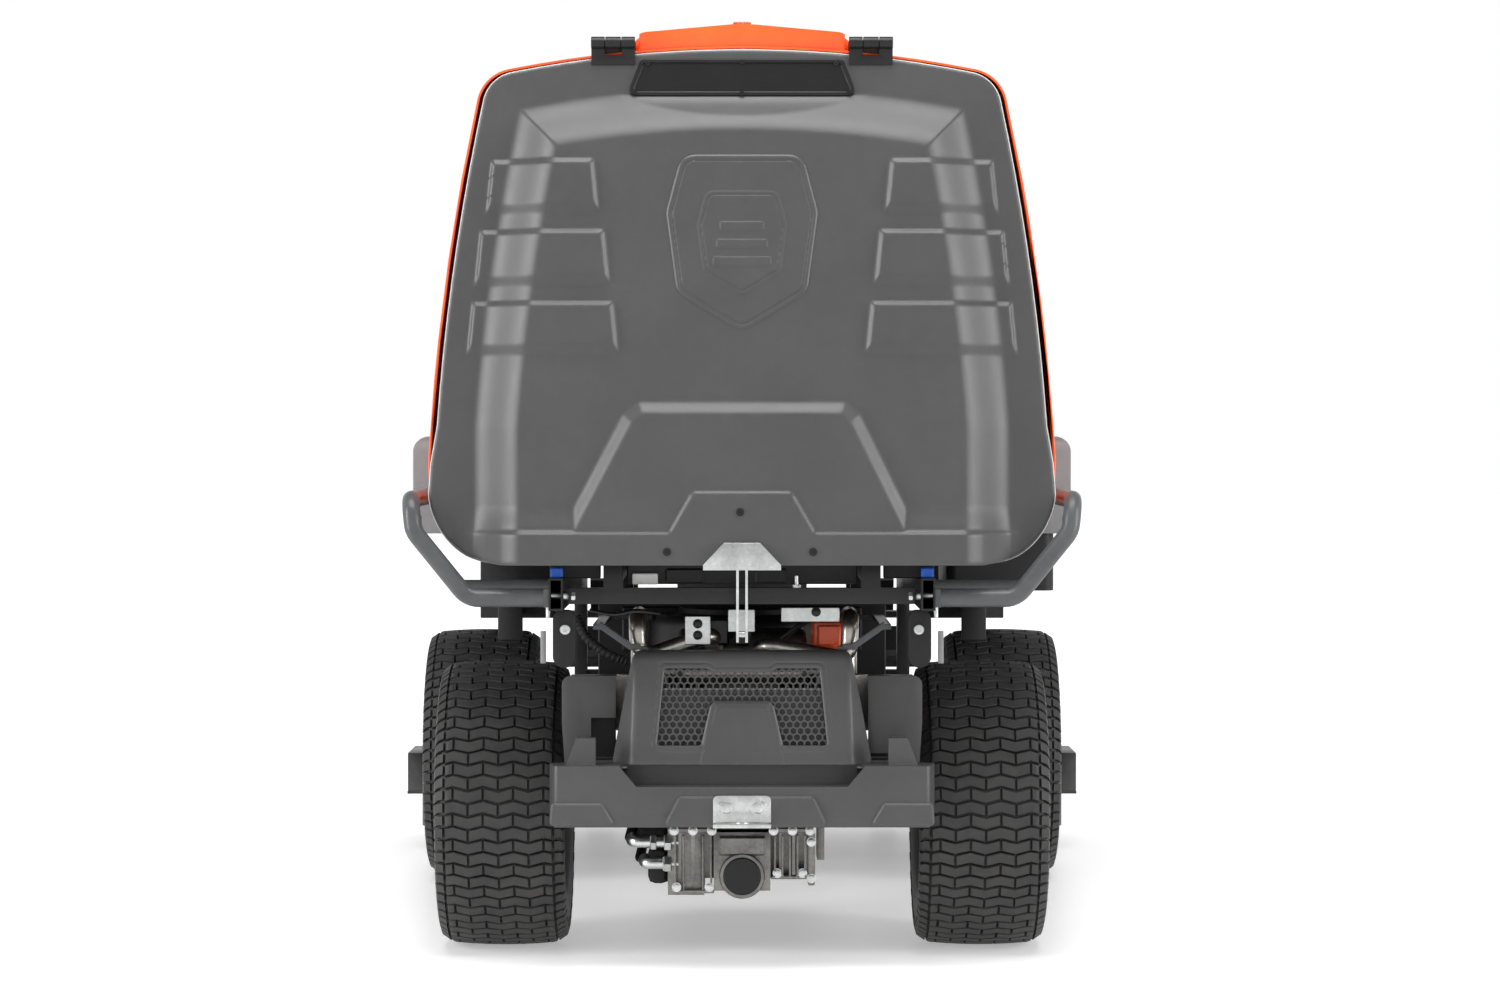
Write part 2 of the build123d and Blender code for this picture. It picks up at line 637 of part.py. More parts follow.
tip_tube_reach = subframe_half_gauge - subframe_tube_width / 2 - 8
with BuildPart() as tip_frame:
    half = tip_tube_size / 2
    block(-tip_tube_reach, tip_tube_reach, tip_y - half, tip_y + half, tip_z - half, tip_z + half)
    block(
        -tip_tube_reach + 16, tip_tube_reach - 16, tip_y - half + 2.5, tip_y + half - 2.5,
        tip_z - half + 2.5, tip_z + half - 2.5, Mode.SUBTRACT,
    )
    for side in (-1, 1):
        arm_x = side * 200
        block(arm_x - 15, arm_x + 15, tip_y - half, bin_front_y - 60, bin_floor_z - 26, bin_floor_z)
        block(arm_x - 15, arm_x + 15, tip_y - half, tip_y + half, tip_z + half, bin_floor_z - 26)
        bore = tip_bolt_radius + running_clearance
        rod(
            (side * (tip_tube_reach - 30), tip_y, tip_z), (side * (tip_tube_reach + 5), tip_y, tip_z),
            bore, Mode.SUBTRACT,
        )
    block(-185, 185, bin_front_y - 90, bin_front_y - 60, bin_floor_z - 26, bin_floor_z)
save(tip_frame, "tip_frame")

hinge_centres = (-200, 200)
knuckle_half = 12
with BuildPart() as bin_hinges:
    for x in hinge_centres:
        rod((x - knuckle_half, hinge_y, hinge_z), (x + knuckle_half, hinge_y, hinge_z), hinge_knuckle_radius)
        rod((x - 34, hinge_y, hinge_z), (x + 34, hinge_y, hinge_z), hinge_pin_radius)
        block(x - knuckle_half, x + knuckle_half, hinge_y, bin_rear_y + 24, hinge_z - 2, hinge_z + 5)
        block(x - 34, x + 34, bin_rear_y + 4, bin_rear_y + 44, hinge_z - 2, hinge_z + 5)
        block(x - 34, x + 34, bin_rear_y + 10, bin_rear_y + 44, bin_top_z - 30, hinge_z)
    add(bin_solid, mode=Mode.SUBTRACT)
save(bin_hinges, "bin_hinges")

# =================================================================== door
door_y = bin_rear_y - door_wall
vent_low, vent_high = bin_top_z - 78, bin_top_z - 20


def bulge_solid(skin, near_y, far_y):
    """The raised middle of the door, or with a skin thickness the hollow behind it."""
    with BuildPart() as bulge:
        with BuildSketch(Plane.XZ.offset(-near_y)):
            bin_outline(inset=58 + skin)
        with BuildSketch(Plane.XZ.offset(-far_y)):
            bin_outline(inset=126 + skin)
        loft(ruled=True)
        block(-600, 600, far_y - 5, near_y + 5, vent_low - 3 - skin, bin_top_z, Mode.SUBTRACT)
        with BuildSketch(Plane.YZ.offset(-368 + skin)):
            with BuildLine():
                Polyline(
                    (near_y, bin_floor_z + 4 + skin), (far_y - 19, bin_floor_z + 4 + skin), (far_y - 22, bin_floor_z + 62 - skin),
                    (far_y, bin_floor_z + 106 - skin), (near_y, bin_floor_z + 106 - skin), close=True,
                )
            make_face()
        extrude(amount=736 - 2 * skin)
    return bulge.part


with BuildPart() as door_panel:
    with BuildSketch(Plane.XZ.offset(-bin_rear_y)):
        bin_outline(inset=door_gap)
    extrude(amount=door_wall)
    add(bulge_solid(0, door_y, door_y - door_bulge))
    add(bulge_solid(door_wall, bin_rear_y + 1, door_y - door_bulge + door_wall), mode=Mode.SUBTRACT)
save(door_panel, "door_panel")

with BuildPart() as door_vent:
    with BuildSketch(Plane.XZ.offset(-door_y)):
        with BuildLine():
            Polyline(
                (-180, vent_low), (180, vent_low), (157, vent_high), (-157, vent_high), close=True,
            )
        make_face()
    extrude(amount=3)
    add(door_panel.part, mode=Mode.SUBTRACT)
save(door_vent, "door_vent")

with BuildPart() as door_hinges:
    for x in hinge_centres:
        for low, high in ((x - 34, x - knuckle_half - 1), (x + knuckle_half + 1, x + 34)):
            rod((low, hinge_y, hinge_z), (high, hinge_y, hinge_z), hinge_knuckle_radius)
            block(low, high, door_y - 4, door_y, bin_top_z - 30, hinge_z)
            bore = hinge_pin_radius + running_clearance
            rod((low - 1, hinge_y, hinge_z), (high + 1, hinge_y, hinge_z), bore, Mode.SUBTRACT)
        block(x - 34, x + 34, door_y - 4, door_y, bin_top_z - 30, bin_top_z - 14)
save(door_hinges, "door_hinges")

striker_y = door_y - 72
with BuildPart() as door_striker:
    with BuildSketch(Plane.XZ.offset(-striker_y)):
        with BuildLine():
            Polyline(
                (-60, bin_floor_z - 8), (60, bin_floor_z - 8), (60, bin_floor_z), (28, bin_floor_z + 34),
                (-28, bin_floor_z + 34), (-60, bin_floor_z), close=True,
            )
        make_face()
    extrude(amount=9)
    block(-60, 60, striker_y - 9, striker_y + 30, bin_floor_z - 8, bin_floor_z - 4)
    block(-9, -5, striker_y + 4, striker_y + 24, subframe_z - 48, bin_floor_z - 8)
    block(5, 9, striker_y + 4, striker_y + 24, subframe_z - 48, bin_floor_z - 8)
    rod((-9, striker_y + 14, subframe_z - 36), (9, striker_y + 14, subframe_z - 36), 5)
save(door_striker, "door_striker")

# ========================================================== front section
yoke_gap = 5
with BuildPart() as front_frame:
    for side in (-1, 1):
        inner = side * (front_rail_offset - front_rail_width / 2)
        outer = side * (front_rail_offset + front_rail_width / 2)
        ends = (upright_y - 40, lift_y + 60)
        block(min(inner, outer), max(inner, outer), *ends, front_rail_z, front_rail_top)
    edge = front_rail_offset + front_rail_width / 2
    block(-edge, edge, upright_y - 40, upright_y, front_rail_z, front_rail_top)
    block(-edge, edge, front_axle_y - 20, front_axle_y + 20, front_rail_z, front_rail_z + 50)
    for low in (rear_rail_z - 5 - 12, front_rail_top):
        block(-42, 42, pivot_y, upright_y - 20, low, low + 12)
        rod((0, pivot_y, low), (0, pivot_y, low + 12), 42)
    block(-42, 42, upright_y - 40, upright_y - 20, rear_rail_z - 17, front_rail_z)
    yoke_low = rear_rail_z - 30
    rod((0, pivot_y, yoke_low), (0, pivot_y, front_rail_top + 20), pivot_pin_radius, Mode.SUBTRACT)
    rod(
        (-edge - 5, lift_y, lift_z), (edge + 5, lift_y, lift_z), lift_pin_radius + running_clearance, Mode.SUBTRACT
    )
save(front_frame, "front_frame")

with BuildPart() as pivot_pin:
    rod((0, pivot_y, rear_rail_z - 26), (0, pivot_y, front_rail_top + 18), pivot_pin_radius)
    rod((0, pivot_y, front_rail_top + 12), (0, pivot_y, front_rail_top + 20), 28)
save(pivot_pin, "pivot_pin")

with BuildPart() as front_transaxle:
    block(-105, 105, front_axle_y - 90, front_axle_y + 70, axle_z - 110, front_rail_z)
    block(-150, 150, front_axle_y - 60, front_axle_y + 50, axle_z - 45, front_rail_z - 12)
    axle_end = front_track / 2 - 48
    rod((-axle_end, front_axle_y, axle_z), (axle_end, front_axle_y, axle_z), axle_tube_radius)
    shaft_reach = front_track / 2 + 4
    rod((-shaft_reach, front_axle_y, axle_z), (shaft_reach, front_axle_y, axle_z), axle_shaft_radius)
    for side in (-1, 1):
        block(
            side * front_rail_offset - 14, side * front_rail_offset + 14, front_axle_y - 45, front_axle_y + 45,
            axle_z - 35, front_rail_z,
        )
save(front_transaxle, "front_transaxle")

console_low = bin_floor_z + 30
console_high = bin_floor_z + 196
console_rear = bin_front_y + 20
console_front = front_axle_y + 250
for hand, side in (("left", -1), ("right", 1)):
    with BuildPart() as side_console:
        with BuildSketch(Plane.YZ.offset(side * (console_inner_half + console_outer_half) / 2)):
            with BuildLine():
                Polyline(
                    (console_rear, console_low), (console_rear, console_high), (front_axle_y - 60, console_high),
                    (console_front, console_low + 60), (console_front, console_low), close=True,
                )
            make_face()
        extrude(amount=(console_outer_half - console_inner_half) / 2, both=True)
        fillet(edges().group_by(Axis.Z)[-1], radius=26)
        shell = 4
        with BuildSketch(Plane.YZ.offset(side * (console_inner_half + console_outer_half) / 2)):
            with BuildLine():
                Polyline(
                    (console_rear + shell, console_low - 5), (console_rear + shell, console_high - 30),
                    (front_axle_y - 66, console_high - 30), (console_front - shell, console_low + 52),
                    (console_front - shell, console_low - 5), close=True,
                )
            make_face()
        extrude(amount=(console_outer_half - console_inner_half) / 2 - 12, both=True, mode=Mode.SUBTRACT)
    save(side_console, f"side_console_{hand}")

tank_y = console_rear + 6
with BuildPart() as fuel_tank:
    block(350, 534, tank_y, tank_y + 300, bin_floor_z - 68, console_high - 34)
    fillet(edges().filter_by(Axis.Z), radius=18)
    rod((450, tank_y + 250, console_high - 34), (450, tank_y + 250, console_high - 31), 26)
save(fuel_tank, "fuel_tank")

guard_low = tyre_diameter + 29
with BuildPart() as mudguards:
    for side in (-1, 1):
        low_x, high_x = min(side * 346, side * 482), max(side * 346, side * 482)
        block(low_x, high_x, front_axle_y - 170, front_axle_y + 200, guard_low, console_low)
        block(
            low_x + 4, high_x - 4, front_axle_y - 166, front_axle_y + 196, guard_low - 1, console_low - 4,
            Mode.SUBTRACT,
        )
        low_x, high_x = min(side * 400, side * 445), max(side * 400, side * 445)
        block(low_x, high_x, front_axle_y - 250, front_axle_y - 240, guard_low - 36, guard_low + 40)
        block(low_x, high_x, front_axle_y - 250, front_axle_y - 169, guard_low + 10, guard_low + 40)
        low_x, high_x = min(side * 210, side * 347), max(side * 210, side * 347)
        block(low_x, high_x, front_axle_y - 160, front_axle_y - 110, guard_low, guard_low + 12)
        low_x, high_x = min(side * 200, side * 212), max(side * 200, side * 212)
        block(low_x, high_x, front_axle_y - 160, front_axle_y - 110, front_rail_top, guard_low + 12)
save(mudguards, "mudguards")

pan_z = front_rail_top + 14
with BuildPart() as floor_pan:
    for side in (-1, 1):
        low_x, high_x = min(side * 178, side * 356), max(side * 178, side * 356)
        block(low_x, high_x, front_axle_y - 40, lift_y + 150, pan_z, pan_z + 4)
        block(low_x, high_x, lift_y + 146, lift_y + 150, pan_z + 4, pan_z + 60)
        block(side * 190 - 10, side * 190 + 10, front_axle_y - 30, lift_y + 60, front_rail_top, pan_z)
        for ear in (-23, 23):
            ear_x = side * 250 + ear
            block(ear_x - 3, ear_x + 3, lift_y + 80, lift_y + 110, pan_z + 4, pan_z + 70)
            shaft = (lift_y + 95, pan_z + 56)
            rod((ear_x - 4, *shaft), (ear_x + 4, *shaft), pedal_shaft_radius + running_clearance, Mode.SUBTRACT)
save(floor_pan, "floor_pan")


def duct_section(height_shift, half, low, high):
    """One rectangular cross-section of the grass duct."""
    with Locations((0, (low + high) / 2 + height_shift)):
        Rectangle(2 * half, high - low)


duct_stations = (
    (deck_rear_y - 22, deck_top - 66, deck_top + 30),
    (lift_y - 30, front_rail_top + 2, front_rail_top + 92),
    (upright_y + 70, front_rail_top + 60, front_rail_top + 170),
    (bin_front_y + 150, front_rail_top + 150, front_rail_top + 278),
    (bin_front_y + 4, duct_mouth_z + 6, duct_mouth_z + duct_mouth_height - 6),
)
with BuildPart() as grass_duct:
    for (y0, low0, high0), (y1, low1, high1) in zip(duct_stations, duct_stations[1:]):
        for half, shrink, mode in ((duct_half_width - 8, 0, Mode.ADD),):
            with BuildSketch(Plane.XZ.offset(-y0)):
                duct_section(0, half, low0 + shrink, high0 - shrink)
            with BuildSketch(Plane.XZ.offset(-y1)):
                duct_section(0, half, low1 + shrink, high1 - shrink)
            loft(mode=mode)
    for (y0, low0, high0), (y1, low1, high1) in zip(duct_stations, duct_stations[1:]):
        half = duct_half_width - 8 - duct_wall
        with BuildSketch(Plane.XZ.offset(-y0)):
            duct_section(0, half, low0 + duct_wall, high0 - duct_wall)
        with BuildSketch(Plane.XZ.offset(-y1)):
            duct_section(0, half, low1 + duct_wall, high1 - duct_wall)
        loft(mode=Mode.SUBTRACT)
save(grass_duct, "grass_duct")

column_y = lift_y + 20
column_z = front_rail_top + 100
wheel_tilt = 28
column_length = 470
with BuildPart() as steering_column:
    block(-100, 100, column_y - 50, column_y + 80, column_z, column_z + 12)
    for side in (-1, 1):
        block(side * 126 - 4, side * 126 + 4, column_y - 50, column_y + 80, pan_z + 6, column_z + 12)
        low_x, high_x = min(side * 100, side * 122), max(side * 100, side * 122)
        block(low_x, high_x, column_y - 50, column_y + 80, column_z, column_z + 12)
        low_x, high_x = min(side * 122, side * 178), max(side * 122, side * 178)
        block(low_x, high_x, column_y - 50, column_y - 14, pan_z + 6, pan_z + 12)
        block(side * 190 - 12, side * 190 + 12, column_y - 50, column_y - 14, pan_z + 4, pan_z + 12)
    lean = Vector(0, -math.sin(math.radians(wheel_tilt)), math.cos(math.radians(wheel_tilt)))
    foot = Vector(0, column_y + 20, column_z + 12)
    rod(tuple(foot + lean * 4), tuple(foot + lean * (column_length - 2)), 20)
save(steering_column, "steering_column")

hub_point = foot + lean * column_length
with BuildPart() as steering_wheel:
    rim_plane = Plane(origin=hub_point + lean * 30, x_dir=(1, 0, 0), z_dir=lean)
    with BuildSketch(rim_plane):
        Circle(36)
    extrude(amount=-30)
    with BuildSketch(Plane(origin=rim_plane.origin, x_dir=(1, 0, 0), z_dir=rim_plane.y_dir)):
        with Locations((steering_wheel_radius - 14, 0)):
            Circle(14)
    revolve(axis=Axis(rim_plane.origin, lean))
    for turn in (90, 210, 330):
        angle = math.radians(turn)
        spoke = rim_plane.x_dir * math.cos(angle) + rim_plane.y_dir * math.sin(angle)
        middle = rim_plane.origin + spoke * (steering_wheel_radius / 2 + 6)
        with BuildSketch(Plane(origin=middle - lean * 9, x_dir=spoke, z_dir=lean)):
            Rectangle(steering_wheel_radius - 44, 26)
        extrude(amount=8)
save(steering_wheel, "steering_wheel")

with BuildPart() as dash_cover:
    low_z = column_z + 14
    with BuildSketch(Plane.YZ.offset(-95)):
        with BuildLine():
            Polyline(
                (column_y + 76, low_z), (column_y + 76, low_z + 80), (column_y - 30, low_z + 250),
                (column_y - 95, low_z + 236), (column_y - 46, low_z), close=True,
            )
        make_face()
    extrude(amount=190)
    fillet(edges().filter_by(Axis.X).group_by(Axis.Z)[-1], radius=10)
    rod(tuple(foot - lean * 20), tuple(foot + lean * 400), 20.4, Mode.SUBTRACT)
    with BuildSketch(Plane.YZ.offset(-89)):
        with BuildLine():
            Polyline(
                (column_y + 70, low_z - 2), (column_y + 70, low_z + 74), (column_y - 33, low_z + 238),
                (column_y - 86, low_z + 228), (column_y - 40, low_z - 2), close=True,
            )
        make_face()
    extrude(amount=178, mode=Mode.SUBTRACT)
save(dash_cover, "dash_cover")

lamp_z = console_low + 34
with BuildPart() as headlamps:
    for side in (-1, 1):
        lamp_x = side * (console_inner_half + console_outer_half) / 2
        with BuildSketch(Plane.XZ.offset(-console_front)):
            with Locations((lamp_x, lamp_z)):
                RectangleRounded(110, 44, 18)
        extrude(amount=-14)
save(headlamps, "headlamps")

# ------------------------------------------------------------------- seat
seat_base_top = front_rail_top + 300
seat_y = bin_front_y + 152
with BuildPart() as seat_base:
    for side in (-1, 1):
        base_x = side * 200
        block(base_x - 10, base_x + 10, seat_y, seat_y + 60, front_rail_top + 30, seat_base_top - 12)
        block(base_x - 10, base_x + 10, seat_y + 300, seat_y + 360, front_rail_top, seat_base_top - 12)
        block(base_x - 16, base_x + 16, seat_y, seat_y + 420, seat_base_top - 12, seat_base_top)
    block(-184, 184, seat_y + 380, seat_y + 420, seat_base_top - 12, seat_base_top)
save(seat_base, "seat_base")

with BuildPart() as seat_pan:
    pan_low = seat_base_top + 0.5
    for side in (-1, 1):
        block(side * 200 - 12, side * 200 + 12, seat_y + 20, seat_y + 330, pan_low, pan_low + 16)
    block(-225, 225, seat_y, seat_y + 400, pan_low + 16, pan_low + 24)
    with BuildSketch(Plane.YZ.offset(-200)):
        with BuildLine():
            Polyline(
                (seat_y, pan_low + 16), (seat_y + 8, pan_low + 16), (seat_y - 50, pan_low + 400),
                (seat_y - 58, pan_low + 400), close=True,
            )
        make_face()
    extrude(amount=400)
save(seat_pan, "seat_pan")

cushion_z = pan_low + 24.5
with BuildPart() as seat_cushion:
    block(-seat_width / 2, seat_width / 2, seat_y + 60, seat_y + 470, cushion_z, cushion_z + 80)
    fillet(edges().filter_by(Axis.Z), radius=50)
    fillet(edges().group_by(Axis.Z)[-1], radius=26)
save(seat_cushion, "seat_cushion")

back_low = cushion_z + 30
with BuildPart() as seat_back:
    with BuildSketch(Plane.YZ.offset(-seat_width / 2)):
        with BuildLine():
            Polyline(
                (seat_y + 4, back_low), (seat_y + 58, back_low), (seat_y + 58, back_low + 60),
                (seat_y + 10, back_low + 470), (seat_y - 62, back_low + 470), close=True,
            )
        make_face()
    extrude(amount=seat_width)
    fillet(edges().filter_by(Axis.Y).group_by(Axis.Z)[-1], radius=70)
save(seat_back, "seat_back")

# ---------------------------------------------------------------- pedals

def make_pedal(name, x, width):
    """A foot pedal on a cross shaft held by its two bracket ears."""
    with BuildPart() as pedal:
        shaft_y, shaft_z = lift_y + 95, pan_z + 56
        rod((x - 26, shaft_y, shaft_z), (x + 26, shaft_y, shaft_z), pedal_shaft_radius)
        block(x - 8, x + 8, shaft_y, shaft_y + 14, shaft_z - 4, shaft_z + 60)
        with BuildSketch(Plane.YZ.offset(x - width / 2)):
            with BuildLine():
                Polyline(
                    (shaft_y + 14, shaft_z + 30), (shaft_y + 24, shaft_z + 26),
                    (shaft_y - 4, shaft_z + 100), (shaft_y - 14, shaft_z + 96), close=True,
                )
            make_face()
        extrude(amount=width)
    save(pedal, name)


make_pedal("brake_pedal", -250, 90)
make_pedal("drive_pedal", 250, 90)

# ---------------------------------------------------------------- deck
deck_shoulder_y = deck_rear_y + 350
with BuildPart() as deck_shell:
    for inset, low, high, mode in (
        (0, deck_clearance, deck_top, Mode.ADD),
        (deck_wall, deck_clearance - 1, deck_top - deck_wall, Mode.SUBTRACT),
    ):
        with BuildSketch(Plane.XY.offset(low)):
            with BuildLine():
                Polyline(
                    (-deck_half_width, deck_rear_y), (deck_half_width, deck_rear_y), (deck_half_width, deck_shoulder_y),
                    (400, deck_front_y), (-400, deck_front_y), (-deck_half_width, deck_shoulder_y), close=True,
                )
            make_face()
            fillet(vertices(), radius=45)
            if inset:
                offset(amount=-inset, mode=Mode.REPLACE)
        extrude(amount=high - low, mode=mode)
    mouth_half = duct_half_width - 12
    block(
        -mouth_half, mouth_half, deck_rear_y - 1, deck_rear_y + 10, deck_top - 62, deck_top - 12, Mode.SUBTRACT
    )
    for x in (-blade_pitch, 0, blade_pitch):
        spindle_y = deck_rear_y + (228 if x else 440)
        rod((x, spindle_y, deck_top - 10), (x, spindle_y, deck_top), 16, Mode.SUBTRACT)
    for side in (-1, 1):
        low_x, high_x = min(side * deck_half_width, side * deck_ear_half), max(
            side * deck_half_width, side * deck_ear_half
        )
        block(low_x, high_x, deck_rear_y + 120, deck_rear_y + 300, deck_top - 55, deck_top + 20)
        block(low_x, high_x, deck_rear_y + 110, deck_rear_y + 310, deck_top - 60, deck_top - 55)
        roller_y, roller_z = deck_front_y - 26, deck_clearance - 8
        rod((side * 300 - 25, roller_y, roller_z), (side * 300 + 25, roller_y, roller_z), 22)
        rod((side * 300 - 32, roller_y, roller_z), (side * 300 + 32, roller_y, roller_z), 5)
        for plate_x in (side * 300 - 29, side * 300 + 29):
            block(plate_x - 3, plate_x + 3, roller_y - 14, roller_y + 14, roller_z - 6, deck_top - 2)
save(deck_shell, "deck_shell")

spindle_places = []
for hand, x in (("left", -blade_pitch), ("centre", 0), ("right", blade_pitch)):
    spindle_y = deck_rear_y + (228 if x else 440)
    spindle_places.append((x, spindle_y))
    blade_z = deck_clearance + 18
    with BuildPart() as blade:
        with BuildSketch(Plane.XY.offset(blade_z)):
            with Locations((x, spindle_y)):
                Rectangle(2 * blade_radius - 60, 50, rotation=60 if x else 0)
                Rectangle(2 * blade_radius - 2, 44, rotation=60 if x else 0)
        extrude(amount=5)
        rod((x, spindle_y, blade_z - 8), (x, spindle_y, deck_top + 42), 12)
        rod((x, spindle_y, deck_top + 28), (x, spindle_y, deck_top + 40), 60)
    save(blade, f"blade_{hand}")

with BuildPart() as spindle_housings:
    for x, spindle_y in spindle_places:
        rod((x, spindle_y, deck_top), (x, spindle_y, deck_top + 20), 48)
        rod((x, spindle_y, deck_top - 45), (x, spindle_y, deck_top), 15.9)
        rod((x, spindle_y, deck_top - 50), (x, spindle_y, deck_top + 21), 12 + running_clearance, Mode.SUBTRACT)
save(spindle_housings, "spindle_housings")

with BuildPart() as belt_cover:
    cover_low, cover_high = deck_top + 44, deck_top + 62
    for x, spindle_y in spindle_places:
        if x:
            with BuildSketch(Plane.XY.offset(cover_low)):
                with Locations((x, spindle_y)):
                    RectangleRounded(200, 230, 40)
            extrude(amount=cover_high - cover_low)
            with BuildSketch(Plane.XY.offset(cover_low)):
                with Locations((x, spindle_y)):
                    RectangleRounded(190, 220, 35)
            extrude(amount=cover_high - cover_low - 4, mode=Mode.SUBTRACT)
            for post_y in (spindle_y - 106, spindle_y + 106):
                rod((x, post_y, deck_top), (x, post_y, cover_high - 2), 8)
save(belt_cover, "belt_cover")

arm_y = deck_rear_y + 60
with BuildPart() as lift_frame:
    for side in (-1, 1):
        low_x = side * lift_arm_offset - lift_arm_width / 2
        high_x = side * lift_arm_offset + lift_arm_width / 2
        with BuildSketch(Plane.YZ.offset(low_x)):
            with BuildLine():
                Polyline(
                    (lift_y - 22, lift_z - 22), (lift_y - 22, lift_z + 22), (lift_y + 22, lift_z + 22),
                    (arm_y + 50, deck_top + 70), (deck_rear_y + 420, deck_top + 70), (deck_rear_y + 420, deck_top + 26),
                    (arm_y + 20, deck_top + 26), (lift_y + 10, lift_z - 22), close=True,
                )
            make_face()
        extrude(amount=lift_arm_width)
        for foot_y in (deck_rear_y + 130, deck_rear_y + 380):
            block(low_x, high_x, foot_y - 20, foot_y + 20, deck_top, deck_top + 26)
        outer_pin = side * (front_rail_offset + front_rail_width / 2 + 6)
        rod((high_x if side < 0 else low_x, lift_y, lift_z), (outer_pin, lift_y, lift_z), lift_pin_radius)
    reach = lift_arm_offset - lift_arm_width / 2
    block(-reach, reach, deck_rear_y + 250, deck_rear_y + 290, deck_top + 46, deck_top + 70)
save(lift_frame, "lift_frame")

print("rear axle y", rear_axle_y, "front axle y", front_axle_y, "pivot y", pivot_y)
print("tip", tip_y, tip_z, "hinge", hinge_y, hinge_z, "lift", lift_y, lift_z)
print("tow hole", (0, tow_y - tow_lip_reach / 2, tow_lip_z + tow_plate_thickness / 2))
print("steering hub", tuple(hub_point), "axis", tuple(lean), "spindles", spindle_places)
print("seat_base_top", seat_base_top, "pedal shaft", lift_y + 95, pan_z + 56, "bin_floor_z", bin_floor_z)
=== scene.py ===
import json
import math
from contextlib import contextmanager

import bmesh
import bpy
import numpy as np
from mathutils import Matrix, Vector


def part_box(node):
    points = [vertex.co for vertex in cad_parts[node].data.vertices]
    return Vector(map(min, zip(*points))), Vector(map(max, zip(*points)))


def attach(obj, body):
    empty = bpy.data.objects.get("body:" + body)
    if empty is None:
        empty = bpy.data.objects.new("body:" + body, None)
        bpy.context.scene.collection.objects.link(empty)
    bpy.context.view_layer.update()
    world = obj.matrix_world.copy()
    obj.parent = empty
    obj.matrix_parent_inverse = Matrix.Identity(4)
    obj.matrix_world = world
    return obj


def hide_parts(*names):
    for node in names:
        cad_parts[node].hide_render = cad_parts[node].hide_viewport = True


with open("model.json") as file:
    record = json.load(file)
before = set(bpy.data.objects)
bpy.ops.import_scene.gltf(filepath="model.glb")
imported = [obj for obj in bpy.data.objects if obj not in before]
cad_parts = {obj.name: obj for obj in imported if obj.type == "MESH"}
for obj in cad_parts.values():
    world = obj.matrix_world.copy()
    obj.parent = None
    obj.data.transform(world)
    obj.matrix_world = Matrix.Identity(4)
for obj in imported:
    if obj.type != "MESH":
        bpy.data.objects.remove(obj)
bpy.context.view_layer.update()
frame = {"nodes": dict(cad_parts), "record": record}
shown = bpy.context.scene
nodes = frame["nodes"]
print("frame loaded,", len(nodes), "nodes")


# shader maths, one socket at a time
class Wire:
    def __init__(self, tree, socket=None):
        self.tree = tree
        self.socket = socket

    def put(self, node, place, value):
        if isinstance(value, Wire):
            self.tree.links.new(value.socket, node.inputs[place])
        else:
            node.inputs[place].default_value = value

    def node(self, kind, values=None, out=0, **settings):
        made = self.tree.nodes.new("ShaderNode" + kind)
        for name, setting in settings.items():
            setattr(made, name, setting)
        for place, value in (values or {}).items():
            self.put(made, place, value)
        return Wire(self.tree, made.outputs[out])

    def sum(self, operation, *values):
        return self.node("Math", dict(enumerate(values)), operation=operation)

    def __add__(self, other):
        return self.sum("ADD", self, other)

    def __sub__(self, other):
        return self.sum("SUBTRACT", self, other)

    def __mul__(self, other):
        return self.sum("MULTIPLY", self, other)

    __radd__ = __add__
    __rmul__ = __mul__

    def spread(self, low, high, newLow=0.0, newHigh=1.0):
        return self.node("MapRange", {0: self, 1: low, 2: high, 3: newLow, 4: newHigh})

    def blend(self, first, second):
        # a colour between two colours, this socket being the share of the second
        made = self.tree.nodes.new("ShaderNodeMix")
        made.data_type = "RGBA"
        self.put(made, 0, self)
        self.put(made, 6, first)
        self.put(made, 7, second)
        return Wire(self.tree, made.outputs[2])

    def noise(self, scale, detail=3.0, rough=0.5, place=None):
        values = {"Scale": scale, "Detail": detail, "Roughness": rough}
        values["Vector"] = place or self
        return self.node("TexNoise", values)


def rgb(red, green, blue):
    # colours are written as seen on a screen, 0 to 255
    def line(value):
        value = value / 255
        return value / 12.92 if value <= 0.04045 else ((value + 0.055) / 1.055) ** 2.4
    return (line(red), line(green), line(blue), 1.0)


